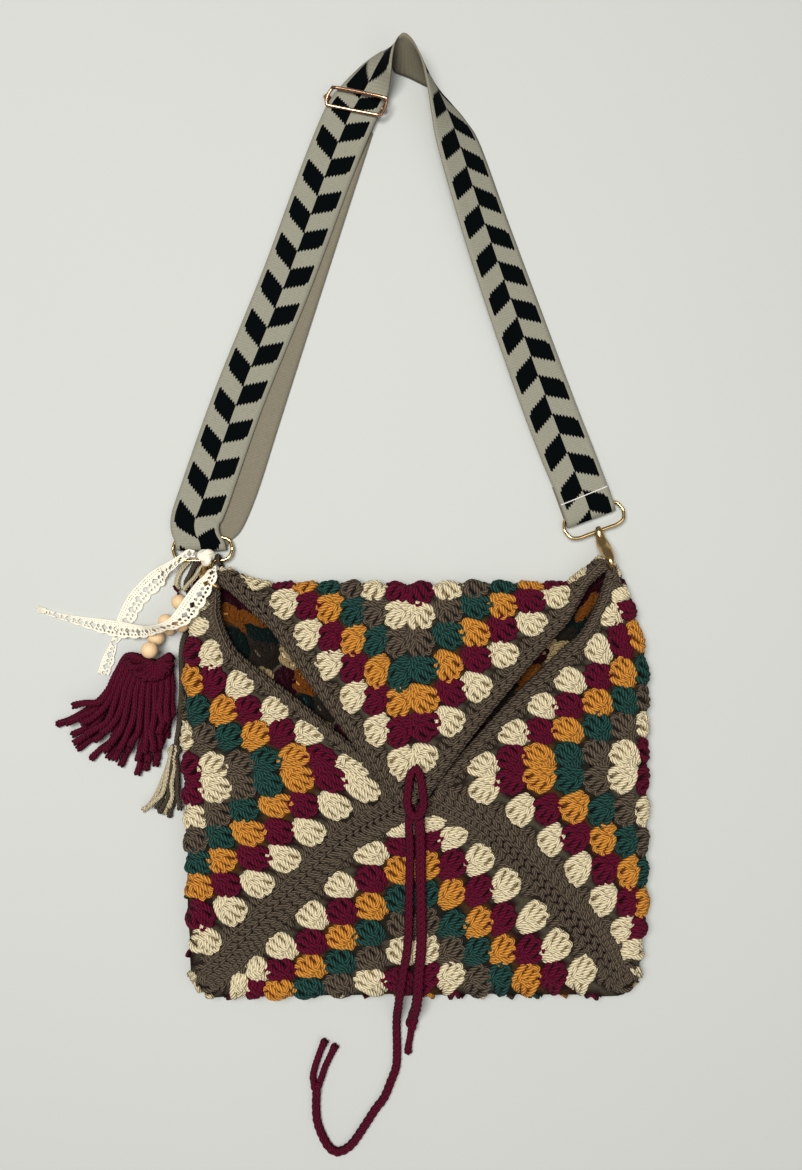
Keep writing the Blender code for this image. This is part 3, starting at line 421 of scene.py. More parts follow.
@dataclass
class Patch:
    """Points and faces of one or more surfaces, before they become a mesh."""

    points: Array
    corners: Array
    counts: Array
    uvs: Array
    slots: Array

    @staticmethod
    def joined(patches: list["Patch"]) -> "Patch":
        """Put several patches together as one."""
        starts = np.cumsum([0] + [len(patch.points) for patch in patches[:-1]])
        return Patch(np.concatenate([patch.points for patch in patches]),
                     np.concatenate([patch.corners + start for patch, start in zip(patches, starts)]),
                     np.concatenate([patch.counts for patch in patches]),
                     np.concatenate([patch.uvs for patch in patches]),
                     np.concatenate([patch.slots for patch in patches]))

    @staticmethod
    def of_quads(points: Array, quads: Array) -> "Patch":
        """A surface of quads that doesn't use its UVs."""
        count = quads.size // 4
        return Patch(points, quads.ravel(), np.full(count, 4), np.zeros((quads.size, 2)),
                     np.zeros(count, dtype=int))

    @staticmethod
    def closed_sheet(outer: Array, inner: Array, quads: Array) -> "Patch":
        """Two faces on one grid, with a wall along every edge that only one kept cell has."""
        count = len(outer)
        one, two = quads.ravel(), np.roll(quads, -1, axis=1).ravel()
        alone = ~np.isin(one * count + two, two * count + one)
        one, two = one[alone], two[alone]
        walls = np.stack([one, two, two + count, one + count], axis=-1)
        return Patch.of_quads(np.concatenate([outer, inner]),
                              np.concatenate([quads[:, ::-1], quads + count, walls])).facing_out()

    def facing_out(self) -> "Patch":
        """Turn every quad over if the closed surface's volume comes out negative."""
        a, b, c, d = (self.points[self.corners.reshape(-1, 4)[:, i]] for i in range(4))
        if (np.cross(a, b) * c).sum() + (np.cross(a, c) * d).sum() < 0:
            self.corners = self.corners.reshape(-1, 4)[:, ::-1].ravel()
        return self

    def without_loose(self) -> "Patch":
        """Leave out the points that no face uses."""
        used, corners = np.unique(self.corners, return_inverse=True)
        self.points, self.corners = self.points[used], corners
        return self


def grid_cells(rows: int, columns: int) -> Array:
    """The four corners of each cell in a grid of rows × columns points."""
    index = np.arange(rows * columns).reshape(rows, columns)
    return np.stack([index[:-1, :-1], index[1:, :-1], index[1:, 1:], index[:-1, 1:]], axis=-1)


def ring_points(centres: Array, ups: Array, radii: Array, sides: int, closed: bool,
                flatten: Array | float) -> Array:
    """Points of a ring round each place of many paths.

    A point is the centre + r (cos a · side + sin a · rise), where side is the unit cross product
    of the path's direction and the given up, and rise crosses side and direction.
    """
    if closed:
        tangent = np.roll(centres, -1, axis=1) - np.roll(centres, 1, axis=1)
    else:
        tangent = np.gradient(centres, axis=1)
    tangent = unit(tangent)
    side = unit(np.cross(tangent, ups))
    rise = np.cross(side, tangent)
    radii = np.broadcast_to(radii, centres.shape[:2])[:, :, None, None]
    angle = np.arange(sides) * math.tau / sides
    cosine, sine = np.cos(angle)[:, None], np.sin(angle)[:, None] * flatten
    return centres[:, :, None] + radii * (cosine * side[:, :, None] + sine * rise[:, :, None])


def sweep(centres: Array, ups: Array, radii: Array, sides: int = 6, closed: bool = False,
          flatten: Array | float = 1.0) -> Patch:
    """Make tubes along many paths at once.

    Args:
        centres: Paths, as strands × places × 3.
        ups: Up directions, of the same shape.
        radii: Radii that fit strands × places.
        sides: Points in a ring.
        closed: Whether each path joins its own start.
        flatten: Height of the section as a share of its width.

    Returns:
        The tubes, with turn and millimetres along as their UVs.
    """
    points = ring_points(centres, ups, radii, sides, closed, flatten)
    strands, rings = centres.shape[:2]
    step = np.linalg.norm(np.diff(centres, axis=1), axis=2)
    length = np.concatenate([np.zeros((strands, 1)), np.cumsum(step, axis=1)], axis=1)
    index = np.arange(strands * rings * sides).reshape(strands, rings, sides)
    low, high = index[:, :-1], index[:, 1:]
    run_low, run_high = length[:, :-1], length[:, 1:]
    if closed:
        low, high = index, np.roll(index, -1, axis=1)
        closing = np.linalg.norm(centres[:, 0] - centres[:, -1], axis=1)
        run_low = length
        run_high = np.concatenate([length[:, 1:], (length[:, -1] + closing)[:, None]], axis=1)
    quads = np.stack([low, high, np.roll(high, -1, axis=2), np.roll(low, -1, axis=2)], axis=-1)
    turn = np.arange(sides) / sides
    turns = np.stack([turn, turn, turn + 1 / sides, turn + 1 / sides], axis=-1)
    runs = np.stack([run_low, run_high, run_high, run_low], axis=-1)[:, :, None]
    quad_uv = np.stack(np.broadcast_arrays(turns[None, None], runs), axis=-1).reshape(-1, 2)
    corners, counts, uvs = [quads.ravel()], [np.full(quads.size // 4, 4)], [quad_uv]
    ends = [] if closed else [(index[:, 0], length[:, 0]), (index[:, -1, ::-1], length[:, -1])]
    for cap, run in ends:
        corners.append(cap.ravel())
        counts.append(np.full(strands, sides))
        uvs.append(np.stack(np.broadcast_arrays(turn[None], run[:, None]), axis=-1).reshape(-1, 2))
    counts = np.concatenate(counts)
    return Patch(points.reshape(-1, 3), np.concatenate(corners), counts, np.concatenate(uvs),
                 np.zeros(len(counts), dtype=int))


def yarn_piece(name: str, patch: Patch, shade: Shade, *nodes: str) -> Piece:
    """Make a piece of plain yarn that stands for the given nodes."""
    return add_piece(name, patch, [FINISH[shade]], nodes)


def path_sides(path: Array) -> tuple[Array, Array]:
    """Level directions across a path, and the frame's up squared to the path."""
    tangent = unit(np.gradient(path, axis=0))
    side = unit(np.cross(tangent, [0.0, 0.0, 1.0]) + 1e-6)
    return side, np.cross(side, tangent)


def path_ups(path: Array) -> Array:
    """Up directions across a path: the frame's up, squared to the path."""
    return path_sides(path)[1]


def tube(path: Array, radii: Array | float, sides: int, closed: bool = False,
         flatten: Array | float = 1.0, up: tuple | None = (0.0, 0.0, 1.0)) -> Patch:
    """One tube along a path, turned to an up direction, or squared to the path if up is None."""
    ups = path_ups(path) if up is None else np.broadcast_to(up, path.shape)
    return sweep(path[None], ups[None], radii, sides, closed, flatten)


def add_piece(name: str, patch: Patch, finishes: list, replaces: tuple = (),
              shades: Array | None = None) -> Piece:
    """Put a patch into a mesh, dress it, and let it ride on the bag.

    Args:
        name: The piece's name.
        patch: Its points in millimetres and its faces.
        finishes: Its materials, in the order of the patch's slots.
        replaces: The nodes that it stands for.
        shades: Point colours, where its material reads them.

    Returns:
        The object.
    """
    mesh = bpy.data.meshes.new(name)
    mesh.vertices.add(len(patch.points))
    mesh.vertices.foreach_set("co", (patch.points * MM).ravel())
    mesh.loops.add(len(patch.corners))
    mesh.loops.foreach_set("vertex_index", patch.corners.astype(np.int32))
    mesh.polygons.add(len(patch.counts))
    starts = np.concatenate([[0], np.cumsum(patch.counts)[:-1]])
    mesh.polygons.foreach_set("loop_start", starts.astype(np.int32))
    mesh.polygons.foreach_set("material_index", patch.slots.astype(np.int32))
    mesh.uv_layers.new(name="lay").data.foreach_set("uv", patch.uvs.ravel())
    if shades is not None:
        mesh.color_attributes.new("shade", "FLOAT_COLOR", "POINT").data.foreach_set(
            "color", shades.ravel())
    mesh.update(calc_edges=True)
    mesh.validate()
    mesh.shade_smooth()
    for finish in finishes:
        mesh.materials.append(finish)
    piece = bpy.data.objects.new(name, mesh)
    bpy.context.scene.collection.objects.link(piece)
    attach(piece, "root")
    if replaces:
        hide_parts(*replaces)
    LOG.info("%s: %d faces", name, len(patch.counts))
    return piece


def between(at: Array, given: Array, table: Array) -> Array:
    """Rows of a table at places between the given ones."""
    return np.stack([np.interp(at, given, column) for column in table.T], axis=-1)


def taper(share: Array, full: tuple, ends: tuple) -> Array:
    """Radius shares: 1 between the two full places, less towards the two ends."""
    return np.interp(share, [0, *full, 1], [ends[0], 1.0, 1.0, ends[1]])


def curve_through(route: Array, spacing: float, closed: bool = False) -> Array:
    """Points along a Catmull–Rom curve: the cubic through each pair of a route's points.

    Args:
        route: The route's own points.
        spacing: About how far apart the new points are.
        closed: Whether the route joins its own start.

    Returns:
        The new points.
    """
    route = np.array(route, dtype=float)
    if closed:
        ends = np.vstack([route[-1:], route, route[:2]])
    else:
        ends = np.vstack([2 * route[0] - route[1], route, 2 * route[-1] - route[-2]])
    places = []
    for i in range(1, len(ends) - 2):
        before, here, there, after = ends[i - 1:i + 3]
        count = max(1, int(round(np.linalg.norm(there - here) / spacing)))
        t = (np.arange(count) / count)[:, None]
        places.append(0.5 * (2 * here + (there - before) * t
                             + (2 * before - 5 * here + 4 * there - after) * t ** 2
                             + (3 * here - before - 3 * there + after) * t ** 3))
    if not closed:
        places.append(route[-1:])
    return np.vstack(places)


def run_length(path: Array) -> Array:
    """Distance along a path at each of its points."""
    return np.concatenate([[0.0], np.cumsum(np.linalg.norm(np.diff(path, axis=0), axis=1))])


def band_edges(stations: list, spacing: float, low: float) -> tuple[Array, Array, Array]:
    """Close points on a band's two edges, none below a height, and the run along its middle."""
    fine = curve_through(np.array(stations, dtype=float).reshape(-1, 6), spacing * math.sqrt(2))
    fine[:, [2, 5]] = np.maximum(fine[:, [2, 5]], low)
    one, two = fine[:, :3], fine[:, 3:]
    return one, two, run_length((one + two) / 2)


def sheet_between(one: Array, two: Array, columns: int) -> tuple[Array, Array]:
    """Rows of points from one edge line to the other, and each row's direction off the sheet."""
    normal = unit(np.cross(np.gradient((one + two) / 2, axis=0), two - one))
    share = np.linspace(0.0, 1.0, columns + 1)[None, :, None]
    return one[:, None] + (two - one)[:, None] * share, normal[:, None]


@dataclass(frozen=True)
class Panel:
    """A folded-in corner of the square: where its clusters lie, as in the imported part."""

    inward: tuple
    axis: tuple
    row_step: tuple
    plus_fold: tuple
    plus_tip: tuple
    minus_fold: tuple
    minus_tip: tuple
    corner_start: float = 4.5
    is_flap: bool = False


@dataclass(frozen=True)
class FoldedSquare:
    """The crocheted square folded like an envelope.

    A lattice point (u, v) of the flat square has its clusters on the half numbers, a round being
    where |u| + |v| is one whole number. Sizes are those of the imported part, in millimetres.
    """

    reach: float = 16.5
    fold_at: float = 8.25
    first_row: float = 8.5
    tip_row: float = 6.0
    back_height: float = 4.0
    front_height: float = 17.5
    flap_lift: float = 9.6
    front_sink: float = 1.0
    low: tuple = (-160.2, -142.2)
    high: tuple = (160.2, 143.2)
    corner: float = 14.0
    seam_end: tuple = (5.0, 2.0)
    pull_reach: float = 58.0
    thinning: float = 0.7
    thin_reach: float = 2.2
    sink_reach: float = 40.0
    lift_from: float = 1.5
    lift_rows: float = 3.0
    tip_cut: float = 15.85
    seam_from: float = 13.4
    seam_places: int = 201
    pull_row: float = 4.5
    turns: dict = field(default_factory=lambda: {1: 0.38, -1: -0.05})
    pulls: dict = field(default_factory=lambda: {
        (1, 1): (-17.0, 24.0), (-1, 1): (13.0, 15.0), (1, -1): (-2.0, -2.0), (-1, -1): (2.0, -2.0)})
    panels: dict = field(default_factory=lambda: {
        "top": Panel((0, 1), (-5.6, 152.0), (0.3, -21.3), (19.8, 1.4), (20.0, 6.5),
                     (-16.4, 1.4), (-16.4, 1.4), 6.0, True),
        "left": Panel((-1, 0), (-168.3, 8.1), (20.2, 2.6), (-3.3, 21.0), (-8.3, 16.0),
                      (1.5, -16.7), (4.7, -18.5)),
        "right": Panel((1, 0), (173.7, 21.0), (-20.8, -0.4), (-0.4, 19.2), (1.5, 17.4),
                       (-0.7, -22.5), (6.5, -19.2)),
        "bottom": Panel((0, -1), (0.0, -136.6), (-0.2, 20.5), (18.0, -0.4), (18.9, 3.6),
                        (-22.1, -2.2), (-20.3, -6.5)),
    })

    @property
    def radius(self) -> float:
        """Bend radius of the cloth's middle at a fold."""
        return (self.front_height - self.back_height) / 2

    def off_outline(self, points: Array) -> tuple[Array, Array]:
        """Distance outside the rounded outline, and the outward direction, of plan points."""
        low, high = np.array(self.low), np.array(self.high)
        offset = points - (low + high) / 2
        past = np.abs(offset) - ((high - low) / 2 - self.corner)
        over = np.maximum(past, 0.0)
        length = np.linalg.norm(over, axis=1)
        distance = length + np.minimum(past.max(axis=1), 0.0) - self.corner
        side = np.where(past[:, :1] >= past[:, 1:], [[1.0, 0.0]], [[0.0, 1.0]])
        direction = np.where((length > 1e-9)[:, None], unit(over), side)
        return distance, direction * np.where(offset < 0, -1.0, 1.0)

    def unroll(self, points: Array) -> Array:
        """Carry front plan points round the fold onto the plane of the back."""
        distance, direction = self.off_outline(points)
        return points + direction * (math.pi * self.radius - 2 * distance)[:, None]

    def common_corner(self, sign_x: int, sign_y: int, on_back: bool = False) -> Array:
        """The unrolled place where two folds meet, part of the way round the fold."""
        edge = np.array([(self.high if sign_x > 0 else self.low)[0],
                         (self.high if sign_y > 0 else self.low)[1]])
        signs = np.array([sign_x, sign_y])
        turn = self.turns[sign_y]
        if on_back:
            turn = 1.0 - turn
        reach = (self.corner + turn * math.pi * self.radius) * math.sqrt(0.5)
        return edge + signs * (reach - self.corner)

    def rows(self, panel: Panel, uv: Array) -> tuple[Array, Array]:
        """Rows from the fold and columns from the axis of a panel's lattice points."""
        rows = uv @ np.array(panel.inward, dtype=float) - self.first_row
        return rows, uv[:, 1] if panel.inward[0] else uv[:, 0]

    def raw_plan(self, panel: Panel, rows: Array, columns: Array) -> Array:
        """Plan places before corners and tips are drawn together: axis + row + column steps."""
        spread = np.clip(rows / self.tip_row, 0.0, 1.3)[:, None]
        plus = (1 - spread) * np.array(panel.plus_fold) + spread * np.array(panel.plus_tip)
        minus = (1 - spread) * np.array(panel.minus_fold) + spread * np.array(panel.minus_tip)
        step = np.where((columns >= 0)[:, None], plus, minus)
        near = np.where(rows < 1.0, 1.0 - 0.8 * (1.0 - rows), rows)
        axis = np.array(panel.axis) + near[:, None] * np.array(panel.row_step)
        return axis + np.abs(columns)[:, None] * step

    def loose_plan(self, panel: Panel, uv: Array) -> Array:
        """Unrolled plan places of a panel's lattice points before its sides are sewn."""
        rows, columns = self.rows(panel, uv)
        places = self.raw_plan(panel, rows, columns)
        fold_row = np.array([self.fold_at - self.first_row])
        for side in (-1, 1):
            corner = (side, panel.inward[1]) if panel.inward[1] else (panel.inward[0], side)
            at_corner = self.raw_plan(panel, fold_row, np.array([side * self.fold_at]))[0]
            share = (side * columns - panel.corner_start) / (self.fold_at - panel.corner_start)
            places = places + smooth(share)[:, None] * (self.common_corner(*corner) - at_corner)
        if not panel.is_flap:
            tip = self.reach - self.first_row
            at_tip = self.raw_plan(panel, np.array([tip]), np.array([0.0]))[0]
            pull = smooth((rows - self.pull_row) / (tip - self.pull_row))
            places = places + pull[:, None] * (np.array(self.seam_end) - at_tip)
        return places

    @cached_property
    def seam_shifts(self) -> dict:
        """Moves that bring two sewn sides together, at even shares from a corner to the tips.

        A place on one side is matched to the one as far along the other, and both go halfway.
        """
        share = np.linspace(0.0, 1.0, self.seam_places)[:, None]
        shifts = {}
        for side, name in ((-1, "left"), (1, "right")):
            corner = np.array([side, -1.0]) * self.fold_at
            plans, alongs = [], []
            for panel, tip in ((name, (side * self.reach, 0.0)), ("bottom", (0.0, -self.reach))):
                edge = (1 - share) * corner + share * np.array(tip)
                plan = self.loose_plan(self.panels[panel], edge)
                along = (plan - plan[0]) @ (plan[-1] - plan[0])
                plans.append(plan)
                alongs.append(np.maximum.accumulate(along / along[-1] + share[:, 0] * 1e-6))
            for own, key in ((0, (name, -1)), (1, ("bottom", side))):
                matched = between(alongs[own], alongs[1 - own], plans[1 - own])
                shifts[key] = (matched - plans[own]) / 2
        return shifts

    def panel_plan(self, panel: Panel, uv: Array) -> Array:
        """Unrolled plan places of a panel's lattice points, with its lower sides sewn."""
        places = self.loose_plan(panel, uv)
        name = next(key for key, value in self.panels.items() if value is panel)
        across, inward = np.abs(uv[:, 0]), np.abs(uv[:, 1])
        if panel.inward[0]:
            across, inward = inward, across
        share = np.clip((inward - across) / self.reach, 0.0, 1.0)
        near = smooth((across + inward - self.seam_from) / (self.reach - self.seam_from))
        sides = np.sign(uv[:, 1] if panel.inward[0] else uv[:, 0])
        given = np.linspace(0.0, 1.0, self.seam_places)
        for side in (-1, 1):
            shifts = self.seam_shifts.get((name, side))
            if shifts is None:
                continue
            weight = near * smooth(across * 1.5) * (sides == side)
            places += weight[:, None] * between(share, given, shifts)
        return places

    def back_plan(self, uv: Array) -> Array:
        """Unrolled plan places of the back: a Coons patch between the four folds."""
        fold = self.fold_at
        s = ((uv[:, 0] + fold) / (2 * fold))[:, None]
        t = ((uv[:, 1] + fold) / (2 * fold))[:, None]
        flat_u, flat_v = uv * [1.0, 0.0], uv * [0.0, 1.0]
        sides = {name: self.unroll(self.panel_plan(self.panels[name], places)) for name, places in (
            ("left", flat_v - [fold, 0.0]), ("right", flat_v + [fold, 0.0]),
            ("bottom", flat_u - [0.0, fold]), ("top", flat_u + [0.0, fold]))}
        corners = ((1 - s) * (1 - t) * self.common_corner(-1, -1, True)
                   + s * (1 - t) * self.common_corner(1, -1, True)
                   + (1 - s) * t * self.common_corner(-1, 1, True)
                   + s * t * self.common_corner(1, 1, True))
        return ((1 - s) * sides["left"] + s * sides["right"] + (1 - t) * sides["bottom"]
                + t * sides["top"] - corners)

    def corner_shift(self, points: Array) -> Array:
        """Sideways pull of the hooks on the corners, eased out over their reach."""
        shift = np.zeros_like(points)
        for signs, pull in self.pulls.items():
            distance = np.linalg.norm(points - self.common_corner(*signs), axis=1)
            shift += smooth(1.0 - distance / self.pull_reach)[:, None] * np.array(pull)
        return shift

    def squeeze(self, uv: Array) -> Array:
        """How thin the cloth is pressed where two folds meet."""
        away = np.full(len(uv), 99.0)
        for signs in self.pulls:
            away = np.minimum(away, np.linalg.norm(uv - np.array(signs) * self.fold_at, axis=1))
        return 1.0 - self.thinning * (1.0 - smooth(away / self.thin_reach))

    def places(self, uv: Array, offset: Array) -> Array:
        """Places in the folded bag.

        Beyond the outline a point turns round the fold by its distance ÷ the bend radius.

        Args:
            uv: Lattice points, N × 2.
            offset: Outward millimetres from mid-cloth, N.

        Returns:
            N × 3 places.
        """
        uv = np.column_stack([uv[:, 0], np.minimum(uv[:, 1], self.tip_cut)])
        offset = offset * self.squeeze(uv)
        made = np.zeros((len(uv), 3))
        middle = (self.front_height + self.back_height) / 2
        fold = self.fold_at + 1e-6
        in_back = (np.abs(uv) <= fold).all(axis=1)
        masks = {"left": uv[:, 0] < -fold, "right": uv[:, 0] > fold}
        beside = masks["left"] | masks["right"]
        masks["top"] = (uv[:, 1] > fold) & ~beside
        masks["bottom"] = (uv[:, 1] < -fold) & ~beside
        for name, chosen in (*masks.items(), ("back", in_back)):
            if not chosen.any():
                continue
            panel = self.panels.get(name)
            plan = self.panel_plan(panel, uv[chosen]) if panel else self.back_plan(uv[chosen])
            distance, direction = self.off_outline(plan)
            turn = np.clip(distance / self.radius, 0.0, math.pi)
            past = np.maximum(distance - math.pi * self.radius, 0.0)
            radius = self.radius + offset[chosen]
            reach = np.where(distance > 0, radius * np.sin(turn) - past, distance)
            flat = plan + direction * (reach - distance)[:, None]
            made[chosen, :2] = flat + self.corner_shift(flat)
            height = radius * np.cos(turn)
            if panel:
                rows, _ = self.rows(panel, uv[chosen])
                lifted = smooth((rows - self.lift_from) / self.lift_rows)
                rise = self.flap_lift * lifted if panel.is_flap else 0.0
                height = height + smooth(-distance / self.sink_reach) * (rise - self.front_sink)
                made[chosen, 2] = middle + height
            else:
                made[chosen, 2] = middle - height
        return made

    def laid(self, uv: Array, offset: Array, floor: float) -> tuple[Array, Array]:
        """Places and outward directions of paths on the cloth, kept off the table.

        Args:
            uv: Lattice paths, strands × places × 2.
            offset: Outward millimetres from mid-cloth, strands × places.
            floor: Least height of a place.

        Returns:
            The places and the outward directions, strands × places × 3 each.
        """
        flat_uv, flat_offset = uv.reshape(-1, 2), offset.ravel()
        here = self.places(flat_uv, flat_offset)
        above = self.places(flat_uv, flat_offset + 1.0)
        ups = unit(above - here)
        here[:, 2] = np.maximum(here[:, 2], floor)
        return here.reshape(*offset.shape, 3), ups.reshape(*offset.shape, 3)


def crown(uv: Array) -> Array:
    """Height share of a cluster: (|sin πu · sin πv|)^0.55, 1 on its middle and 0 round it."""
    return np.abs(np.sin(math.pi * uv[..., 0]) * np.sin(math.pi * uv[..., 1])) ** 0.55


@dataclass(frozen=True)
class Stitches:
    """The shape of one cluster of treble stitches, in shares of a lattice step.

    Share a runs outward from the cluster's middle and share b runs along its round. Four thick
    strands bulge from the base to the top, three low ones fill the gaps between them, three loops
    slant over their lower half, and three more lie across their ends.
    """

    base: float = -0.47
    top: float = 0.37
    round_off: float = 0.13
    base_spread: float = 0.075
    spread: float = 0.29
    columns: tuple = (-1.0, -0.34, 0.34, 1.0)
    loops: tuple = (-0.68, 0.0, 0.68)
    post_radius: float = 2.6
    loop_radius: float = 2.0
    filling_radius: float = 2.4
    low: float = 0.5
    rise: float = 2.5

    def local(self, column: float, s: Array, off: Array) -> Array:
        """Shares (a, b) at a share s up a stitch and off its line."""
        top = self.top - self.round_off * column * column
        a = self.base + (top - self.base) * s
        width = self.base_spread + (self.spread - self.base_spread) * np.sin(s * math.pi * 0.62)
        return np.stack([a, column * width + off], axis=-1)

    def posts(self, rings: int) -> tuple[Array, Array, float]:
        """Paths, heights and radius of the thick strands."""
        s = np.linspace(0.0, 1.0, rings)
        paths = [self.local(column, s, 0.014 * np.sin(5 * s + 3 * column))
                 for column in self.columns]
        dip = 2.0 * (1 - s) ** 3 + 9.0 * np.maximum(s - 0.8, 0.0)
        heights = [0.3 * math.cos(5 * column) - dip for column in self.columns]
        return np.array(paths), np.array(heights), self.post_radius

    def filling(self, rings: int) -> tuple[Array, Array, float]:
        """Paths, heights and radius of the low strands in the gaps between the thick ones."""
        s = np.linspace(0.1, 0.92, rings)
        paths = [self.local(column, s, np.zeros_like(s)) for column in self.loops]
        return np.array(paths), np.full((len(paths), rings), -1.7), self.filling_radius

    def slanted(self, rings: int) -> tuple[Array, Array, float]:
        """Paths, heights and radius of the loops over the lower half."""
        tau = np.linspace(0.0, 1.0, rings)
        paths, heights = [], []
        for column in self.loops:
            s = 0.30 + 0.05 * abs(column) + 0.30 * tau
            off = 0.10 * (2 * tau - 1) * (-1 if column < 0 else 1)
            paths.append(self.local(column, s, off))
            heights.append(1.7 * np.sin(math.pi * tau) - 0.3)
        return np.array(paths), np.array(heights), self.loop_radius

    def crests(self, rings: int) -> tuple[Array, Array, float]:
        """Paths, heights and radius of the loops across the ends of the strands."""
        tau = np.linspace(0.0, 1.0, rings)
        paths, heights = [], []
        for column in self.loops:
            s = 0.83 + 0.15 * np.sin(math.pi * tau) + 0.04 * (2 * tau - 1) * (column >= 0)
            paths.append(self.local(column, s, 0.108 * (2 * tau - 1)))
            heights.append(1.8 * np.sin(math.pi * tau) - 1.2)
        return np.array(paths), np.array(heights), self.loop_radius


@dataclass
class Crochet:
    """The crocheted cloth: its ground, its clusters of stitches and its border."""

    fold: FoldedSquare
    stitches: Stitches = field(default_factory=Stitches)
    rounds: int = 15
    ground_cells: int = 132
    ground_step: float = 0.25
    ground_floor: float = 0.7
    hole: float = 0.09
    axis_lean: float = 0.07
    even_step: float = 20.1
    fit_power: float = 0.6
    fit_limits: tuple = (0.74, 1.15)
    side: float = 0.45
    border_rise: float = 2.6
    border_pitch: float = 0.5
    border_from: float = 15.4
    post_row: float = 15.10
    post_loop_row: float = 15.66
    fan_row: float = 16.05
    loose_row: float = 16.10
    sewn_rows: tuple = (15.94, 16.31)
    edge_row: float = 16.42

    def clusters(self) -> tuple[Array, Array]:
        """Lattice places of every cluster, and its round."""
        half = np.arange(-self.rounds, self.rounds) + 0.5
        u, v = (grid.ravel() for grid in np.meshgrid(half, half))
        number = np.abs(u) + np.abs(v)
        keep = number <= self.rounds
        return np.column_stack([u, v])[keep], number[keep].astype(int)

    def strands(self, centres: Array, shape: tuple, sides: int, inner: bool,
                seed: int) -> Patch:
        """Make one kind of strand for all the given clusters.

        A local share (a, b) lies at centre + (su (a + b), sv (a − b)), where su and sv are the
        signs of the cluster's own u and v.

        Args:
            centres: Lattice places of the clusters.
            shape: The strands' local paths, heights and radius.
            sides: Points in a ring.
            inner: Whether the stitches are on the cloth's inner face.
            seed: Starts the small differences, the same for all the strands of a cluster.

        Returns:
            The strands as one patch.
        """
        paths, heights, radius = shape
        rng = np.random.default_rng(seed)
        count, rings = len(centres), paths.shape[1]
        stretch = 1.0 + rng.normal(0.0, 0.035, (count, 1, 1, 2))
        shift = rng.normal(0.0, 0.014, (count, 1, 1, 2))
        sway = rng.normal(0.0, 0.07, (count, 1, 1))
        lift = rng.normal(0.0, 0.2, (count, 1, 1))
        beside = np.abs(centres) < 1.0
        lean = self.axis_lean * (beside[:, 1].astype(float) - beside[:, 0].astype(float))
        sway = sway + lean[:, None, None]
        local = paths[None] * stretch * self.fit(centres)[:, None, None] + shift
        local[..., 1] += sway * (local[..., 0] + 0.5)
        a, b = local[..., 0], local[..., 1]
        sign = np.sign(centres)[:, None, None]
        uv = centres[:, None, None] + sign * np.stack([a + b, a - b], axis=-1)
        offset = self.stitches.low + self.stitches.rise * crown(uv) + heights[None] + lift
        if inner:
            offset = -offset - 0.3
        uv, offset = uv.reshape(-1, rings, 2), offset.reshape(-1, rings)
        places, ups = self.fold.laid(uv, offset, radius + 0.05)
        radii = radius * taper(np.linspace(0, 1, rings), (0.2, 0.8), (0.7, 0.6))
        return sweep(places, ups, radii[None], sides)

    def fit(self, centres: Array) -> Array:
        """Shares by which clusters shrink along a and b where the cloth is drawn out.

        A share is (usual ÷ real)^0.6, where real is the millimetres between two places either
        side of the middle, and usual is the same on evenly spaced cloth.
        """
        sign, shares = np.sign(centres), []
        for step in ((0.35, 0.35), (0.35, -0.35)):
            ends = [self.fold.places(centres + way * sign * np.array(step), np.zeros(len(centres)))
                    for way in (1, -1)]
            real = np.linalg.norm(ends[0] - ends[1], axis=1)
            shares.append((self.even_step / real) ** self.fit_power)
        return np.clip(np.stack(shares, axis=-1), *self.fit_limits)

    def cluster_piece(self, shade: Shade) -> Piece:
        """Make all the clusters of one yarn as one piece.

        The low strands' UVs are turned by half, so their tops get the shade painted on a
        strand's underside.
        """
        centres, number = self.clusters()
        mine = centres[number % 5 == shade.value]
        on_back = (np.abs(mine) < self.fold.fold_at - 0.6).all(axis=1)
        seen_inside = on_back & (mine[:, 1] > 1.0) & (np.abs(mine[:, 0]) > 2.0)
        shape, seed = self.stitches, SEED + shade.value
        groups = [(mine[~on_back], (9, 7, 6), 8, False), (mine[on_back], (6, 5, 4), 6, False),
                  (mine[seen_inside], (6, 5, 4), 6, True)]
        patches = [self.strands(places, kind(count), sides, inner, seed)
                   for places, rings, sides, inner in groups
                   for kind, count in zip((shape.posts, shape.slanted, shape.crests), rings)]
        for places, _, _, inner in groups:
            low = self.strands(places, shape.filling(4), 5, inner, seed)
            # Painted shade: turning the UVs puts the darker underside colour on top.
            low.uvs[:, 0] += 0.5
            patches.append(low)
        return add_piece("stitches_" + shade.name.lower(), Patch.joined(patches),
                         [FINISH[shade]])

    @staticmethod
    def border_paths(rows: Array, along: Array, sewn: bool) -> Array:
        """Lattice paths on two sides: (su (S + q) ÷ 2, sv (S − q) ÷ 2) of row S and run q."""
        sign_v = -1 if sewn else 1
        return np.concatenate([
            np.stack([sign_u * (rows + along) / 2, sign_v * (rows - along) / 2], axis=-1)
            for sign_u in (-1, 1)])

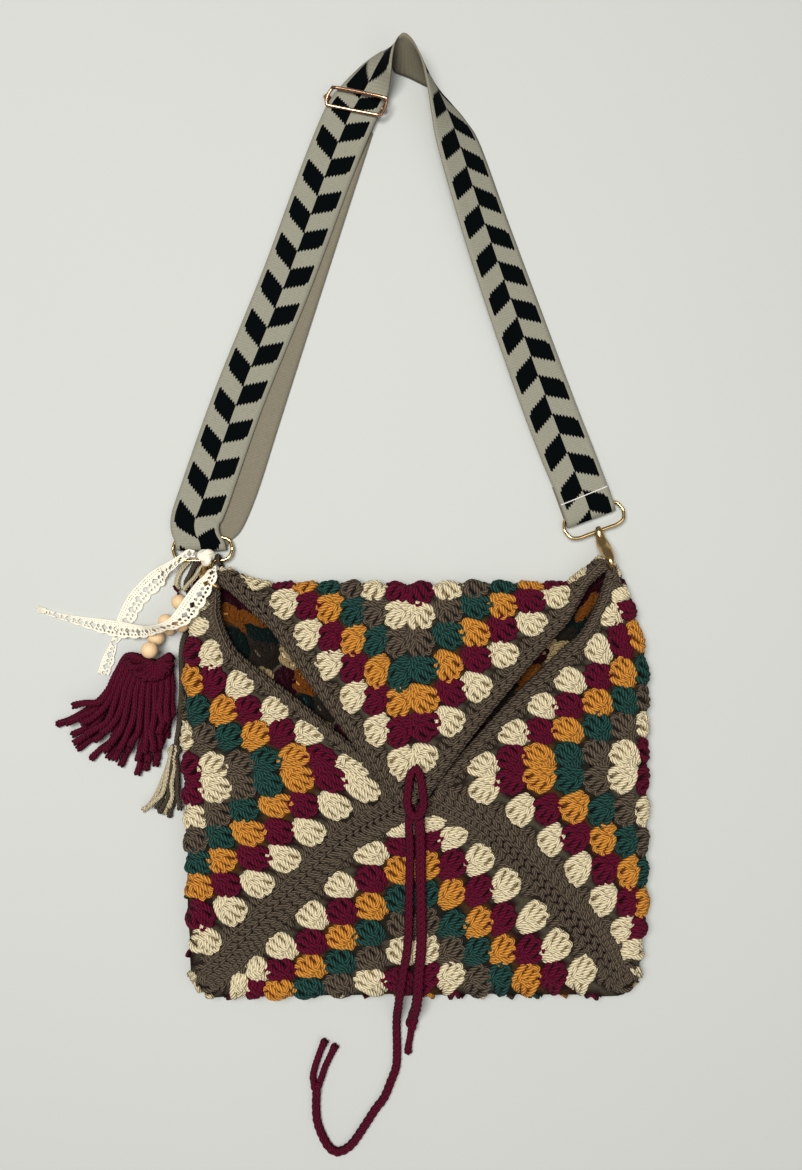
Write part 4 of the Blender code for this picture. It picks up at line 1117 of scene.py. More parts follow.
    def border_posts(self) -> list:
        """Fans of four posts in each gap between the last clusters, with a loop over each.

        A post leaves its gap at run q0 + 0.45 d and ends at q0 + d, in the fan's row.
        """
        tau = np.linspace(0.0, 1.0, 7)[None]
        gaps = np.arange(-15, 16, 2)
        drift = np.tile([-0.75, -0.25, 0.25, 0.75], len(gaps))[:, None]
        gap = np.repeat(gaps, 4)[:, None]
        begin = self.post_row + 0.52 * np.abs(drift)
        row = begin + (self.fan_row - begin) * tau
        q = gap + drift * (0.45 + 0.55 * smooth(tau))
        rise = self.border_rise - 1.6 * (1 - tau) ** 2 + 0 * q
        loop_tau = np.linspace(0.0, 1.0, 5)[None]
        loop_row = self.post_loop_row + 0.26 * loop_tau + 0.06 * np.abs(drift)
        loop_q = gap + drift * 0.92 + 0.17 * (2 * loop_tau - 1)
        loop_rise = self.border_rise + 0.9 + 0.6 * np.sin(math.pi * loop_tau) + 0 * loop_q
        return [(row, q, rise, 2.3), (loop_row, loop_q, loop_rise, 1.8)]

    def border(self) -> Piece:
        """Make the border: its posts, and its ridges of V stitches along the edge and the seam."""
        rng = np.random.default_rng(SEED + 9)
        tau = np.linspace(0.0, 1.0, 6)[None]
        starts = (np.arange(-33, 34) * self.border_pitch)[:, None]
        level = 0 * starts * tau
        kinds = [(sewn, *kind) for kind in self.border_posts() for sewn in (False, True)]
        for side in (-1, 1):
            q = starts + 0.52 * tau
            bow = np.sin(math.pi * tau)
            spread = side * (0.02 + 0.20 * tau)
            height = self.border_rise + 1.5 + 1.0 * bow - 1.0 * tau + level
            kinds.append((False, self.loose_row + spread + level, q, height, 2.15))
            height = side * (0.3 + 1.9 * tau) - 0.2 + level
            kinds.append((False, self.edge_row + level, q, height, 2.1))
            for row in self.sewn_rows:
                height = self.border_rise + 1.9 + 0.8 * bow - 2.6 * tau + level
                kinds.append((True, row + side * (0.01 + 0.18 * tau) + level, q, height, 2.1))
        made = []
        for sewn, s, q, height, radius in kinds:
            inside = np.abs(q).max(axis=1) < s.max(axis=1) - 0.05
            uv = self.border_paths(s[inside], q[inside], sewn)
            height = np.tile(height[inside], (2, 1)) + rng.normal(0.0, 0.18, (len(uv), 1))
            kept = uv[..., 1].min(axis=1) < self.fold.tip_cut
            places, ups = self.fold.laid(uv[kept], height[kept], radius + 0.05)
            radii = radius * taper(np.linspace(0.0, 1.0, s.shape[1]), (0.25, 0.8), (0.6, 0.7))
            made.append(sweep(places, ups, radii[None], 7))
        return add_piece("border_stitches", Patch.joined(made), [FINISH[Shade.TAUPE]])

    def ground(self) -> Piece:
        """Make the cloth under the stitches: two faces on one lattice grid, joined at each edge."""
        count = self.ground_cells
        steps = (np.arange(count + 1) - count / 2) * self.ground_step
        steps = np.clip(steps, -self.edge_row, self.edge_row)
        p, q = np.meshgrid(steps, steps, indexing="ij")
        uv = np.stack([(p + q) / 2, (p - q) / 2], axis=-1).reshape(-1, 2)
        border = np.maximum(np.abs(p), np.abs(q)).ravel() > self.border_from
        height = np.where(border, 0.9, 0.5 + 1.4 * crown(uv))
        outer = self.fold.places(uv, height)
        inner = self.fold.places(uv, np.where(border, -1.4, -1.2 - 1.2 * crown(uv)))
        outer[:, 2] = np.maximum(outer[:, 2], self.ground_floor)
        cells = grid_cells(count + 1, count + 1)
        middle = uv[cells].mean(axis=2)
        nearest = np.round(np.abs(middle).sum(axis=-1) - 0.5) + 0.5
        on_axis = np.minimum(np.abs(middle[..., 0]), np.abs(middle[..., 1])) < self.hole
        round_off = np.abs(np.abs(middle).sum(axis=-1) - nearest) < self.hole * 1.4
        off_fold = np.abs(nearest - self.fold.fold_at) > 0.4
        keep = ~(on_axis & round_off & off_fold & (nearest < self.rounds))
        patch = Patch.closed_sheet(outer, inner, cells[keep])
        number = np.clip(np.round(np.abs(np.floor(uv) + 0.5).sum(axis=1)), 1, 16).astype(int)
        table = np.array([linear(YARNS[Shade(i)].shade) for i in range(5)])
        shades = np.where((number > self.rounds)[:, None] | border[:, None],
                          table[Shade.TAUPE.value], table[number % 5])
        # Its material paints these yarn colours in deep shade.
        return add_piece("cloth_ground", patch, [Ground("acrylic_yarn_in_shade").build()],
                         ("bag_body",), np.concatenate([shades, shades]))

    def build(self) -> None:
        stitches = [self.cluster_piece(shade) for shade in Shade]
        stitches.append(self.border())
        ground = self.ground()


def plait(path: Array, ups: Array, half_width: float, radius: float, pitch: float,
          rings: int = 6, sides: int = 6) -> Patch:
    """Chain stitches along a path: V arms from its middle out to both sides, one per pitch.

    Args:
        path: Close points along the middle.
        ups: Up directions at them.
        half_width: How far the arms' ends lie off the middle.
        radius: The yarn's radius.
        pitch: Millimetres from one V to the next.
        rings: Places along an arm.
        sides: Points in a ring.

    Returns:
        The arms as one patch.
    """
    run = run_length(path)
    starts = np.arange(0.0, max(run[-1] - pitch * 1.6, pitch * 0.1), pitch)[:, None]
    tau = np.linspace(0.0, 1.0, rings)[None]
    across = unit(np.cross(unit(np.gradient(path, axis=0)), ups))
    made = []
    for side in (-1, 1):
        for face in (-1, 1):
            along = starts + pitch * 1.8 * tau + pitch * 0.5 * (face < 0)
            centre, beside, up = (between(along, run, table) for table in (path, across, ups))
            up = unit(up)
            off = side * half_width * (0.1 + 0.9 * smooth(tau * 1.1))[..., None]
            lift = face * half_width * (0.28 + 0.42 * np.sin(math.pi * np.clip(tau, 0, 1)))[..., None]
            radii = radius * taper(tau, (0.2, 0.8), (0.6, 0.6))
            made.append(sweep(centre + unit(beside) * off + up * lift, up, radii, sides))
    return Patch.joined(made)


def twisted(path: Array, radius: float, plies: int, lay: float, sides: int = 7,
            start: float = 0.0, spread: float = 0.0) -> Patch:
    """A plied cord: each ply runs round the path on a helix of the given lay.

    Args:
        path: Close points along the cord's middle.
        radius: The cord's radius.
        plies: How many plies.
        lay: Millimetres for one turn.
        sides: Points in a ring.
        start: The first ply's angle at the start.
        spread: How far the plies part at the far end, in radii.

    Returns:
        The plies as one patch.
    """
    run = run_length(path)
    side, rise = path_sides(path)
    ply_radius = radius / (1 + 1 / math.sin(math.pi / plies)) * 1.12 if plies > 2 else radius * 0.52
    helix = radius - ply_radius
    angle = run[None] * 2 * math.pi / lay + np.arange(plies)[:, None] * 2 * math.pi / plies + start
    open_end = 1.0 + spread * smooth((run - run[-1] + 3 * radius) / (3 * radius))[None]
    reach = (helix * open_end)[..., None]
    centres = path[None] + reach * (np.cos(angle)[..., None] * side + np.sin(angle)[..., None] * rise)
    centres[..., 2] = np.maximum(centres[..., 2], ply_radius + 0.1)
    ups = np.broadcast_to(rise, centres.shape)
    radii = ply_radius * taper(np.linspace(0.0, 1.0, len(path)), (0.03, 0.97), (0.7, 0.75))
    return sweep(centres, ups, radii[None], sides)


def trefoil(count: int, half: tuple, centre: tuple) -> Array:
    """An overhand knot: ((sin t + 2 sin 2t) ÷ 3, (cos t − 2 cos 2t) ÷ 3, −sin 3t) × its half."""
    t = np.arange(count) * 2 * math.pi / count
    return np.stack([(np.sin(t) + 2 * np.sin(2 * t)) / 3, (np.cos(t) - 2 * np.cos(2 * t)) / 3,
                     -np.sin(3 * t)], axis=-1) * np.array(half) + np.array(centre)


def add_core(path: Array, radius: float) -> Patch:
    """A plain tube inside a cord, so that nothing shows through between its strands."""
    return sweep(path[None, ::3], path_ups(path)[None, ::3], radius, 8)


@dataclass
class TieCord:
    """The chained tie cord on the flap's tip, with its loop, knots and cut tails.

    Its thin and wide radii are the long and the short strand's.
    """

    thin: float = 2.7
    wide: float = 3.3
    loop_height: float = 34.6
    pitch: float = 5.0

    @property
    def floor(self) -> float:
        """Height of the long strand's middle where it lies on the table."""
        return self.thin + 0.2

    def routes(self) -> tuple[list, list]:
        """The two strands' own points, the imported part's drawn on further under the loop."""
        floor = self.floor
        long_route = [
            (-2.6, -6.5, 27.4), (-3.6, -12.5, 28.4), (-4.6, -19.6, 29.2), (-4.4, -28.6, 27.4),
            (-3.9, -40.3, 26.0), (-4.6, -75.8, 25.4), (-5.3, -105.3, 25.6), (-9.0, -129.7, 25.8),
            (-11.1, -143.2, 24.4), (-12.6, -157.0, 17.5), (-13.4, -165.6, 8.4), (-13.7, -175.2, 3.6),
            (-13.4, -193.2, floor), (-14.1, -205.8, floor), (-17.8, -216.2, floor),
            (-23.0, -228.8, floor), (-29.7, -237.7, floor), (-37.9, -250.4, floor),
            (-46.0, -262.2, floor), (-52.3, -267.4, floor), (-58.7, -268.9, floor),
            (-64.6, -264.5, floor), (-69.8, -254.8, floor), (-72.8, -245.2, floor),
            (-73.5, -234.8, floor), (-73.1, -223.0, 3.6),
        ]
        short_route = [
            (2.6, -6.5, 26.6), (2.8, -12.5, 27.8), (3.0, -19.8, 29.4), (3.4, -28.6, 28.0),
            (3.7, -40.3, 26.8), (4.0, -75.8, 26.0), (4.4, -105.3, 26.2), (2.4, -129.7, 26.4),
            (1.8, -143.2, 25.6), (0.4, -156.6, 19.6), (-1.2, -163.6, 11.5), (-1.9, -168.6, 7.2),
        ]
        return long_route, short_route

    def strand(self, name: str, route: list, radius: float) -> None:
        path = curve_through(route, 1.0)
        chain = plait(path, path_ups(path), radius * 0.70, radius * 0.54, self.pitch)
        patch = Patch.joined([chain, add_core(path, radius * 0.62)])
        piece = yarn_piece("chain_" + name, patch, Shade.CRANBERRY, "tie_" + name)

    def knot(self, name: str, centre: tuple, half: tuple) -> Piece:
        """Make an overhand knot with a plain core."""
        wrap = tube(trefoil(60, half, centre), 1.9, 8, True, up=(0.05, 0.1, 1.0))
        line = np.array(centre) + np.linspace(-1, 1, 5)[:, None] * [0.0, half[1] * 0.7, 0.0]
        core = tube(line, [0.8, 2.2, 2.8, 2.2, 0.8], 10)
        return yarn_piece("knot_" + name, Patch.joined([wrap, core]), Shade.CRANBERRY,
                          "tie_knot_" + name)

    def build(self) -> None:
        """Make the loop, both strands, their knots and the cut tails."""
        floor = self.floor
        long_route, short_route = self.routes()
        knot = self.knot("long", (-73.0, -220.2, 4.6), (2.7, 3.6, 1.8))
        self.strand("long", long_route, self.thin)
        knot = self.knot("short", (-2.3, -172.8, 5.4), (3.2, 3.7, 2.4))
        self.strand("short", short_route, self.wide)
        loop = [(-0.4, 21.8), (-3.8, 16.5), (-5.4, 6.0), (-6.0, -3.5), (-4.2, -10.5), (0.0, -13.4),
                (4.2, -10.5), (5.8, -3.5), (4.8, 6.0), (3.0, 16.5), (-0.4, 21.8)]
        path = curve_through([(x, y, self.loop_height) for x, y in loop], 1.0)
        patch = Patch.joined([plait(path, path_ups(path), 1.8, 1.45, self.pitch),
                              add_core(path, 1.9)])
        yarn_piece("chain_loop", patch, Shade.CRANBERRY, "tie_loop")
        tails = {
            "tie_tail_a": [(-74.2, -219.6, 3.6), (-75.8, -214.2, 3.2), (-74.6, -207.0, floor),
                           (-70.6, -195.0, floor), (-66.6, -185.8, floor)],
            "tie_tail_b": [(-71.8, -219.6, 3.6), (-69.4, -213.8, 3.2), (-67.0, -206.5, floor),
                           (-63.1, -198.2, floor), (-58.9, -189.5, floor)],
            "tie_tail_c": [(-2.5, -173.6, 4.4), (-3.0, -179.3, 3.6), (-3.6, -184.0, floor),
                           (-4.8, -190.0, floor), (-5.2, -195.8, floor)],
        }
        for name, route in tails.items():
            patch = twisted(curve_through(route, 0.9), self.thin, 3, 9.0, start=1.0, spread=0.5)
            yarn_piece("cut_" + name, patch, Shade.CRANBERRY, name)


@dataclass
class Strap:
    """The webbing shoulder strap, one band from the slider round both rings.

    A slip (station, millimetres) shifts the woven pattern along the band there, where the band
    hides some of its length or turns over.
    """

    thickness: float = 1.8
    half_width: float = 19.0
    across: int = 12
    edge_share: float = 0.45
    spacing: float = 3.0
    low: float = 0.95
    lap: float = 3.3
    over: float = 7.2
    slips: tuple = ((14, 0.0), (15, 3.0), (16, 1.0), (17, 5.0), (18, 10.0), (19, 16.0), (20, 22.0),
                    (28, 4.0), (32, 8.6), (33, 11.6), (34, 15.6), (36, 16.1))

    def stations(self) -> list:
        """The band's two edges at its own places, within about 6 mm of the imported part's."""
        low, lap, over = self.low, self.lap, self.over
        return [
            ((-66.8, 501.6, low), (-31.2, 488.3, low)),
            ((-86.7, 440.6, low), (-51.1, 427.3, low)),
            ((-113.6, 357.3, low), (-78.0, 344.0, low)),
            ((-136.8, 284.4, low), (-101.2, 271.1, low)),
            ((-152.4, 235.2, low), (-116.8, 221.9, low)),
            ((-164.0, 206.0, low), (-128.5, 194.0, low)),
            ((-174.0, 186.5, low), (-137.5, 184.5, low)),
            ((-176.4, 180.6, 1.2), (-139.4, 180.6, 1.2)),
            ((-176.8, 178.6, 2.6), (-139.8, 178.6, 2.6)),
            ((-176.8, 178.2, 4.4), (-139.8, 178.2, 4.4)),
            ((-176.8, 179.2, 6.4), (-140.0, 179.2, 6.4)),
            ((-177.6, 184.0, over), (-141.0, 184.0, over)),
            ((-180.4, 192.0, over), (-144.5, 190.0, over)),
            ((-180.6, 203.0, 5.6), (-145.0, 197.0, 5.6)),
            ((-175.2, 221.8, 4.0), (-139.6, 208.5, 4.0)),
            ((-148.5, 297.5, lap), (-112.5, 285.5, lap)),
            ((-113.2, 385.1, lap), (-77.6, 371.6, lap)),
            ((-83.2, 466.0, lap), (-47.2, 453.2, lap)),
            ((-67.4, 503.0, 6.0), (-31.4, 490.8, 5.8)),
            ((-60.4, 514.2, 6.2), (-25.8, 502.4, 6.8)),
            ((-53.8, 523.0, 4.6), (-20.8, 511.4, 10.2)),
            ((-46.0, 531.8, 2.8), (-18.8, 517.5, 17.6)),
            ((-37.6, 540.0, 1.4), (-17.6, 523.0, 28.0)),
            ((-28.6, 546.6, 1.2), (-16.8, 530.6, 32.6)),
            ((-23.0, 548.5, 1.2), (-15.4, 537.0, 35.4)), ((-18.6, 541.5, 1.0), (-13.4, 541.6, 36.6)),
            ((-15.0, 534.0, 1.0), (-10.8, 544.6, 36.8)),
            ((-5.2, 530.0, 1.0), (-7.0, 545.5, 36.5)),
            ((6.0, 524.5, 1.0), (-1.0, 540.0, 35.0)),
            ((16.0, 519.5, 1.0), (4.5, 528.0, 33.5)),
            ((27.0, 510.0, 1.0), (8.8, 509.6, 31.5)),
            ((38.0, 497.0, 1.0), (11.8, 492.0, 27.5)),
            ((48.6, 479.0, 1.0), (16.4, 471.0, 21.5)),
            ((68.8, 423.6, 1.0), (33.7, 413.6, 14.5)),
            ((92.9, 358.9, 1.2), (56.3, 346.0, 9.6)),
            ((118.2, 290.4, 2.6), (81.2, 276.8, 6.0)),
            ((133.0, 252.0, 4.0), (96.2, 238.7, 4.4)),
            ((139.5, 234.0, 5.2), (104.0, 220.7, 5.2)),
            ((144.0, 221.5, over), (108.5, 208.1, over)),
            ((147.6, 211.0, 6.6), (112.1, 197.6, 6.6)),
            ((148.6, 208.0, 4.6), (113.1, 194.6, 4.6)),
            ((148.6, 208.0, 2.6), (113.1, 194.6, 2.6)),
            ((147.6, 210.6, low), (112.1, 197.2, low)),
            ((144.0, 220.5, low), (108.5, 207.1, low)),
            ((137.6, 238.0, low), (102.1, 224.7, low)),
        ]

    def build(self) -> None:
        one, two, run = band_edges(self.stations(), self.spacing, self.low)
        edges = np.hstack([one, two])
        route = np.array(self.stations()).reshape(-1, 6)
        slip_at = [run[np.argmin(np.linalg.norm(edges - route[i], axis=1))] for i, _ in self.slips]
        woven = run + np.interp(run, slip_at, [slip for _, slip in self.slips])
        band = add_piece("strap_webbing", self.skin(one, two, woven), [
            Webbing("polyester_webbing_face", "898778", "020405", True).build(),
            Webbing("polyester_webbing_back", "777161", "020405", False).build()],
            ("strap",))
        self.stitching()

    def skin(self, one: Array, two: Array, run: Array) -> Patch:
        """A face and a back on one grid, joined round a rounded edge and closed at both ends."""
        sheet, normal = sheet_between(one, two, self.across)
        share = np.linspace(0.0, 1.0, self.across + 1)
        thick = (self.thickness / 2) * np.where(np.abs(2 * share - 1) > 0.99, self.edge_share, 1.0)
        lift = normal * thick[None, :, None]
        rows, columns = sheet.shape[:2]
        index = np.arange(rows * columns).reshape(rows, columns)
        ring = np.concatenate([index, index[:, ::-1] + rows * columns], axis=1)
        low, high = ring[:-1], ring[1:]
        quads = np.stack([low, np.roll(low, -1, axis=1), np.roll(high, -1, axis=1), high], axis=-1)
        off = (share - 0.5) * 2 * self.half_width
        offs = np.concatenate([off, off[::-1]])
        next_off = np.roll(offs, -1)
        runs = np.stack([run[:-1], run[:-1], run[1:], run[1:]], axis=-1)[:, None]
        sides = np.stack([offs, next_off, next_off, offs], axis=-1)[None]
        uvs = np.stack([np.broadcast_to(runs, quads.shape), np.broadcast_to(sides, quads.shape)],
                       axis=-1).reshape(-1, 2)
        is_back = np.broadcast_to(np.arange(ring.shape[1])[None] >= columns - 1, quads.shape[:2])
        caps = np.stack([ring[0, ::-1], ring[-1]])
        return Patch(np.concatenate([(sheet - lift).reshape(-1, 3), (sheet + lift).reshape(-1, 3)]),
                     np.concatenate([quads.ravel(), caps.ravel()]),
                     np.concatenate([np.full(quads.size // 4, 4), np.full(2, ring.shape[1])]),
                     np.concatenate([uvs, np.zeros((caps.size, 2))]),
                     np.concatenate([is_back.ravel().astype(int), [1, 1]]))

    def stitching(self) -> None:
        """Make the sewn line across the strap's right end: a thread that dips at each stitch."""
        share = np.linspace(0.0, 1.0, 61)[:, None]
        path = (1 - share) * [107.6, 211.0, 7.75] + share * [142.0, 224.9, 7.75]
        path[:, 2] += 0.35 * np.abs(np.cos(share[:, 0] * math.pi * 12))
        add_piece("strap_stitching", tube(path, 0.4, 6, up=None),
                  [CottonThread("sewing_thread", "dddbd2").build()])


@dataclass
class Hardware:
    """Rings, slider and swivel hooks of plated wire."""

    wire: float = 1.3
    collar_at: float = 0.21
    collar_radius: float = 3.1
    bar_half: float = 0.9

    @staticmethod
    def ring_route(centre: tuple, length: float, width: float, degrees: float, high: float,
                   low: float) -> list:
        """Corner points of a rounded wire ring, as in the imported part."""
        corner = width * 0.48
        turn = math.radians(degrees)
        places = []
        for sign_x, sign_y in ((1, 1), (-1, 1), (-1, -1), (1, -1)):
            insets = [(0.0, 1.0), (0.28, 0.28), (1.0, 0.0), (1.8, 0.0)]
            if sign_x * sign_y < 0:
                insets.reverse()
            for inset_x, inset_y in insets:
                x = sign_x * (length / 2 - corner * inset_x)
                y = sign_y * (width / 2 - corner * inset_y)
                height = high if sign_y > 0 else low
                if inset_y == 1.0:
                    height = (high + low) / 2
                places.append((centre[0] + x * math.cos(turn) - y * math.sin(turn),
                               centre[1] + x * math.sin(turn) + y * math.cos(turn), height))
        return places

    def wire_loop(self, name: str, route: list, finish: Material,
                  node: str) -> None:
        """Make one closed round wire."""
        wire = tube(curve_through(route, 1.2, True), self.wire, 14, True)
        add_piece(name, wire, [finish], (node,))

    def turned(self, name: str, route: list, widths: list, finish: Material,
               node: str, extra: list | None = None) -> None:
        """Make a round-sided piece along a route whose half width and half height change."""
        path = curve_through(route, 0.7)
        share = np.linspace(0, 1, len(path))
        table = np.array(widths, dtype=float)
        across, rise = between(share, np.linspace(0, 1, len(table)), table).T
        body = tube(path, across, 18, flatten=(rise / across)[None, :, None, None], up=None)
        add_piece(name, Patch.joined([body, *(extra or [])]), [finish], (node,))

    def build(self) -> None:
        """Make every metal piece."""
        gold = Plating("gold_plated_wire", "c9a873").build()
        rose = Plating("rose_gold_plated_wire", "b38d70", 0.24).build()
        left = self.ring_route((-157.3, 178.8), 44.0, 17.4, 0.0, 3.7, 6.4)
        right = self.ring_route((132.5, 200.1), 46.0, 17.4, 20.0, 3.9, 6.6)
        self.wire_loop("wire_ring_left", left, gold, "ring_left")
        self.wire_loop("wire_ring_right", right, gold, "ring_right")
        slider = [(-57.5, 518.1, 10.4), (-24.0, 508.9, 16.0), (-21.2, 506.4, 15.4),
                  (-22.6, 501.0, 12.6), (-25.2, 498.3, 10.8), (-28.6, 498.4, 10.3),
                  (-61.5, 505.4, 8.7), (-65.2, 507.2, 8.8), (-64.6, 512.2, 9.4),
                  (-61.4, 517.0, 10.1)]
        self.wire_loop("wire_slider", slider, rose, "slider")
        bar = [(-68.0, 514.4, 4.2), (-44.0, 509.6, 3.6), (-21.6, 504.6, 4.2)]
        ends = [(0.6, 0.6), (2.2, 2.2), (2.8, 2.8), (2.2, 2.2)]
        self.turned("wire_slider_bar", bar, ends + [(self.bar_half,) * 2] * 26 + ends[::-1], rose,
                    "slider_bar")
        sizes = [(1.6, 2.6), (3.6, 3.6), (3.3, 2.8), (4.3, 2.6), (4.9, 2.5), (4.8, 2.4), (4.3, 2.2),
                 (3.4, 1.9), (2.3, 1.6), (1.6, 1.3), (1.0, 1.0)]
        hooks = {
            "right": [(135.2, 195.0, 6.6), (136.4, 188.5, 7.6), (138.2, 182.0, 11.0),
                      (140.4, 175.6, 17.6), (142.0, 170.4, 21.6), (142.0, 166.2, 21.2),
                      (140.6, 163.0, 17.6)],
            "left": [(-151.5, 172.5, 6.4), (-152.4, 166.4, 7.6), (-153.8, 161.9, 12.0),
                     (-152.4, 156.4, 20.0), (-148.6, 153.2, 22.8), (-144.4, 151.0, 22.6),
                     (-141.8, 149.2, 19.4)],
        }
        for side, route in hooks.items():
            collar = self.collar(curve_through(route, 0.7))
            self.turned("swivel_hook_" + side, route, sizes, gold, "clasp_" + side,
                        [collar])

    def collar(self, path: Array) -> Patch:
        """A raised ring round the hook's neck: a circle across the path."""
        at = int(len(path) * self.collar_at)
        tangent = unit(path[at + 1] - path[at])
        side = unit(np.cross(tangent, [0.0, 0.0, 1.0]))
        rise = np.cross(side, tangent)
        angle = (np.arange(24) * math.tau / 24)[:, None]
        ring = path[at] + self.collar_radius * (np.cos(angle) * side + np.sin(angle) * rise)
        return tube(ring, 0.7, 8, True, up=tangent)


@dataclass
class Charms:
    """Beads, yarn ends and the small tassel's cord on the left ring."""

    bead_hole: float = 1.6

    def bead(self, name: str, centre: tuple, radius: float, axis: tuple,
             finish: Material) -> None:
        """Make a turned bead: a sphere (r cos φ cos θ, r cos φ sin θ, r sin φ) with a bore."""
        limit = math.acos(self.bead_hole / radius)
        phi = np.linspace(-limit, limit, 17)
        rim = radius * math.sin(limit) - 0.2
        profile = np.concatenate([np.stack([radius * np.cos(phi), radius * np.sin(phi)], axis=-1),
                                  [[self.bead_hole - 0.25, rim], [self.bead_hole - 0.25, -rim]]])
        theta = np.arange(36) * 2 * math.pi / 36
        along = unit(np.array(axis, dtype=float))
        side = unit(np.cross(along, [0.0, 0.1, 1.0]))
        rise = np.cross(along, side)
        circle = np.cos(theta)[:, None] * side + np.sin(theta)[:, None] * rise
        points = (np.array(centre) + profile[None, :, :1] * circle[:, None]
                  + profile[None, :, 1:] * along)
        count, rows = points.shape[:2]
        index = np.arange(count * rows).reshape(count, rows)
        after = np.roll(index, -1, axis=0)
        quads = np.stack([index, after, np.roll(after, -1, axis=1), np.roll(index, -1, axis=1)], axis=-1)
        patch = Patch.of_quads(points.reshape(-1, 3), quads).facing_out()
        add_piece("turned_" + name, patch, [finish], (name,))

    def beads(self) -> None:
        """Make the six beads, within about 1 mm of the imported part's."""
        table = [
            ("bead_1", (-174.6, 139.4, 6.0), 5.7, (0.1, -1.0, 0.0)),
            ("bead_2", (-182.4, 125.4, 16.0), 5.5, (-0.5, -1.0, 0.3)),
            ("bead_3", (-171.8, 123.2, 12.2), 6.0, (-1.0, -0.6, 0.0)),
            ("bead_4", (-182.0, 118.9, 4.8), 4.5, (-1.0, -0.5, 0.0)),
            ("bead_5", (-191.5, 113.2, 6.9), 6.3, (-0.7, -1.0, 0.0)),
            ("bead_6", (-193.6, 104.6, 19.6), 6.1, (-0.4, -1.0, -0.1)),
        ]
        wood = TurnedWood("turned_maple", "d2b288").build()
        for name, centre, radius, axis in table:
            self.bead(name, centre, radius, axis, wood)

    def yarn_ends(self) -> None:
        """Make the yarn ends and cords that hang from the left ring."""
        table = [
            ("bead_cord", Shade.CRANBERRY, 1.1, 2, 5.0,
             [(-178.4, 151.6, 7.8), (-177.4, 149.4, 7.2), (-175.6, 147.4, 6.2), (-175.1, 144.4, 6.0),
              (-174.6, 139.4, 6.0), (-174.1, 134.4, 6.0), (-174.3, 131.6, 6.4)]),
            ("yarn_cranberry", Shade.CRANBERRY, 2.7, 3, 9.0,
             [(-157.4, 171.0, 4.0), (-158.0, 166.2, 3.2), (-159.2, 160.6, 3.2), (-160.8, 156.2, 3.2),
              (-163.0, 152.6, 3.2)]),
            ("yarn_cream", Shade.CREAM, 2.1, 3, 7.5,
             [(-167.5, 170.0, 4.6), (-173.4, 163.4, 2.6), (-176.2, 157.6, 2.6), (-177.0, 151.6, 2.6),
              (-176.2, 148.2, 2.6)]),
            ("yarn_pale", Shade.CREAM, 1.8, 3, 7.0,
             [(-154.6, 168.6, 9.8), (-159.6, 161.8, 9.4), (-162.6, 157.4, 9.0), (-166.8, 153.2, 8.4),
              (-171.0, 148.0, 8.6)]),
            ("yarn_taupe", Shade.TAUPE, 1.9, 3, 7.0,
             [(-143.6, 166.4, 10.6), (-145.2, 169.0, 10.3), (-145.8, 172.4, 8.9),
              (-145.6, 173.6, 5.9), (-145.2, 171.6, 3.2), (-144.4, 168.0, 2.7),
              (-143.4, 165.4, 3.6)]),
        ]
        for name, shade, radius, plies, lay, route in table:
            patch = twisted(curve_through(route, 0.8), radius, plies, lay, spread=0.3)
            yarn_piece("plied_" + name, patch, shade, name)

    def long_cord(self) -> None:
        route = [(-159.4, 171.6, 3.4), (-163.6, 166.6, 2.6), (-167.0, 159.5, 2.6), (-170.0, 153.0, 2.6),
                 (-168.0, 146.0, 2.4), (-166.0, 138.0, 2.4), (-166.4, 128.0, 2.4),
                 (-170.0, 117.0, 2.4), (-173.4, 104.0, 2.4), (-173.4, 74.1, 2.4),
                 (-175.2, 48.8, 2.4), (-177.4, 33.4, 2.6)]
        path = curve_through(route, 0.8)
        patch = Patch.joined([twisted(path, 2.3, 3, 7.5), add_core(path, 1.0)])
        piece = yarn_piece("plied_tassel_small_cord", patch, Shade.TAUPE, "tassel_small_cord")


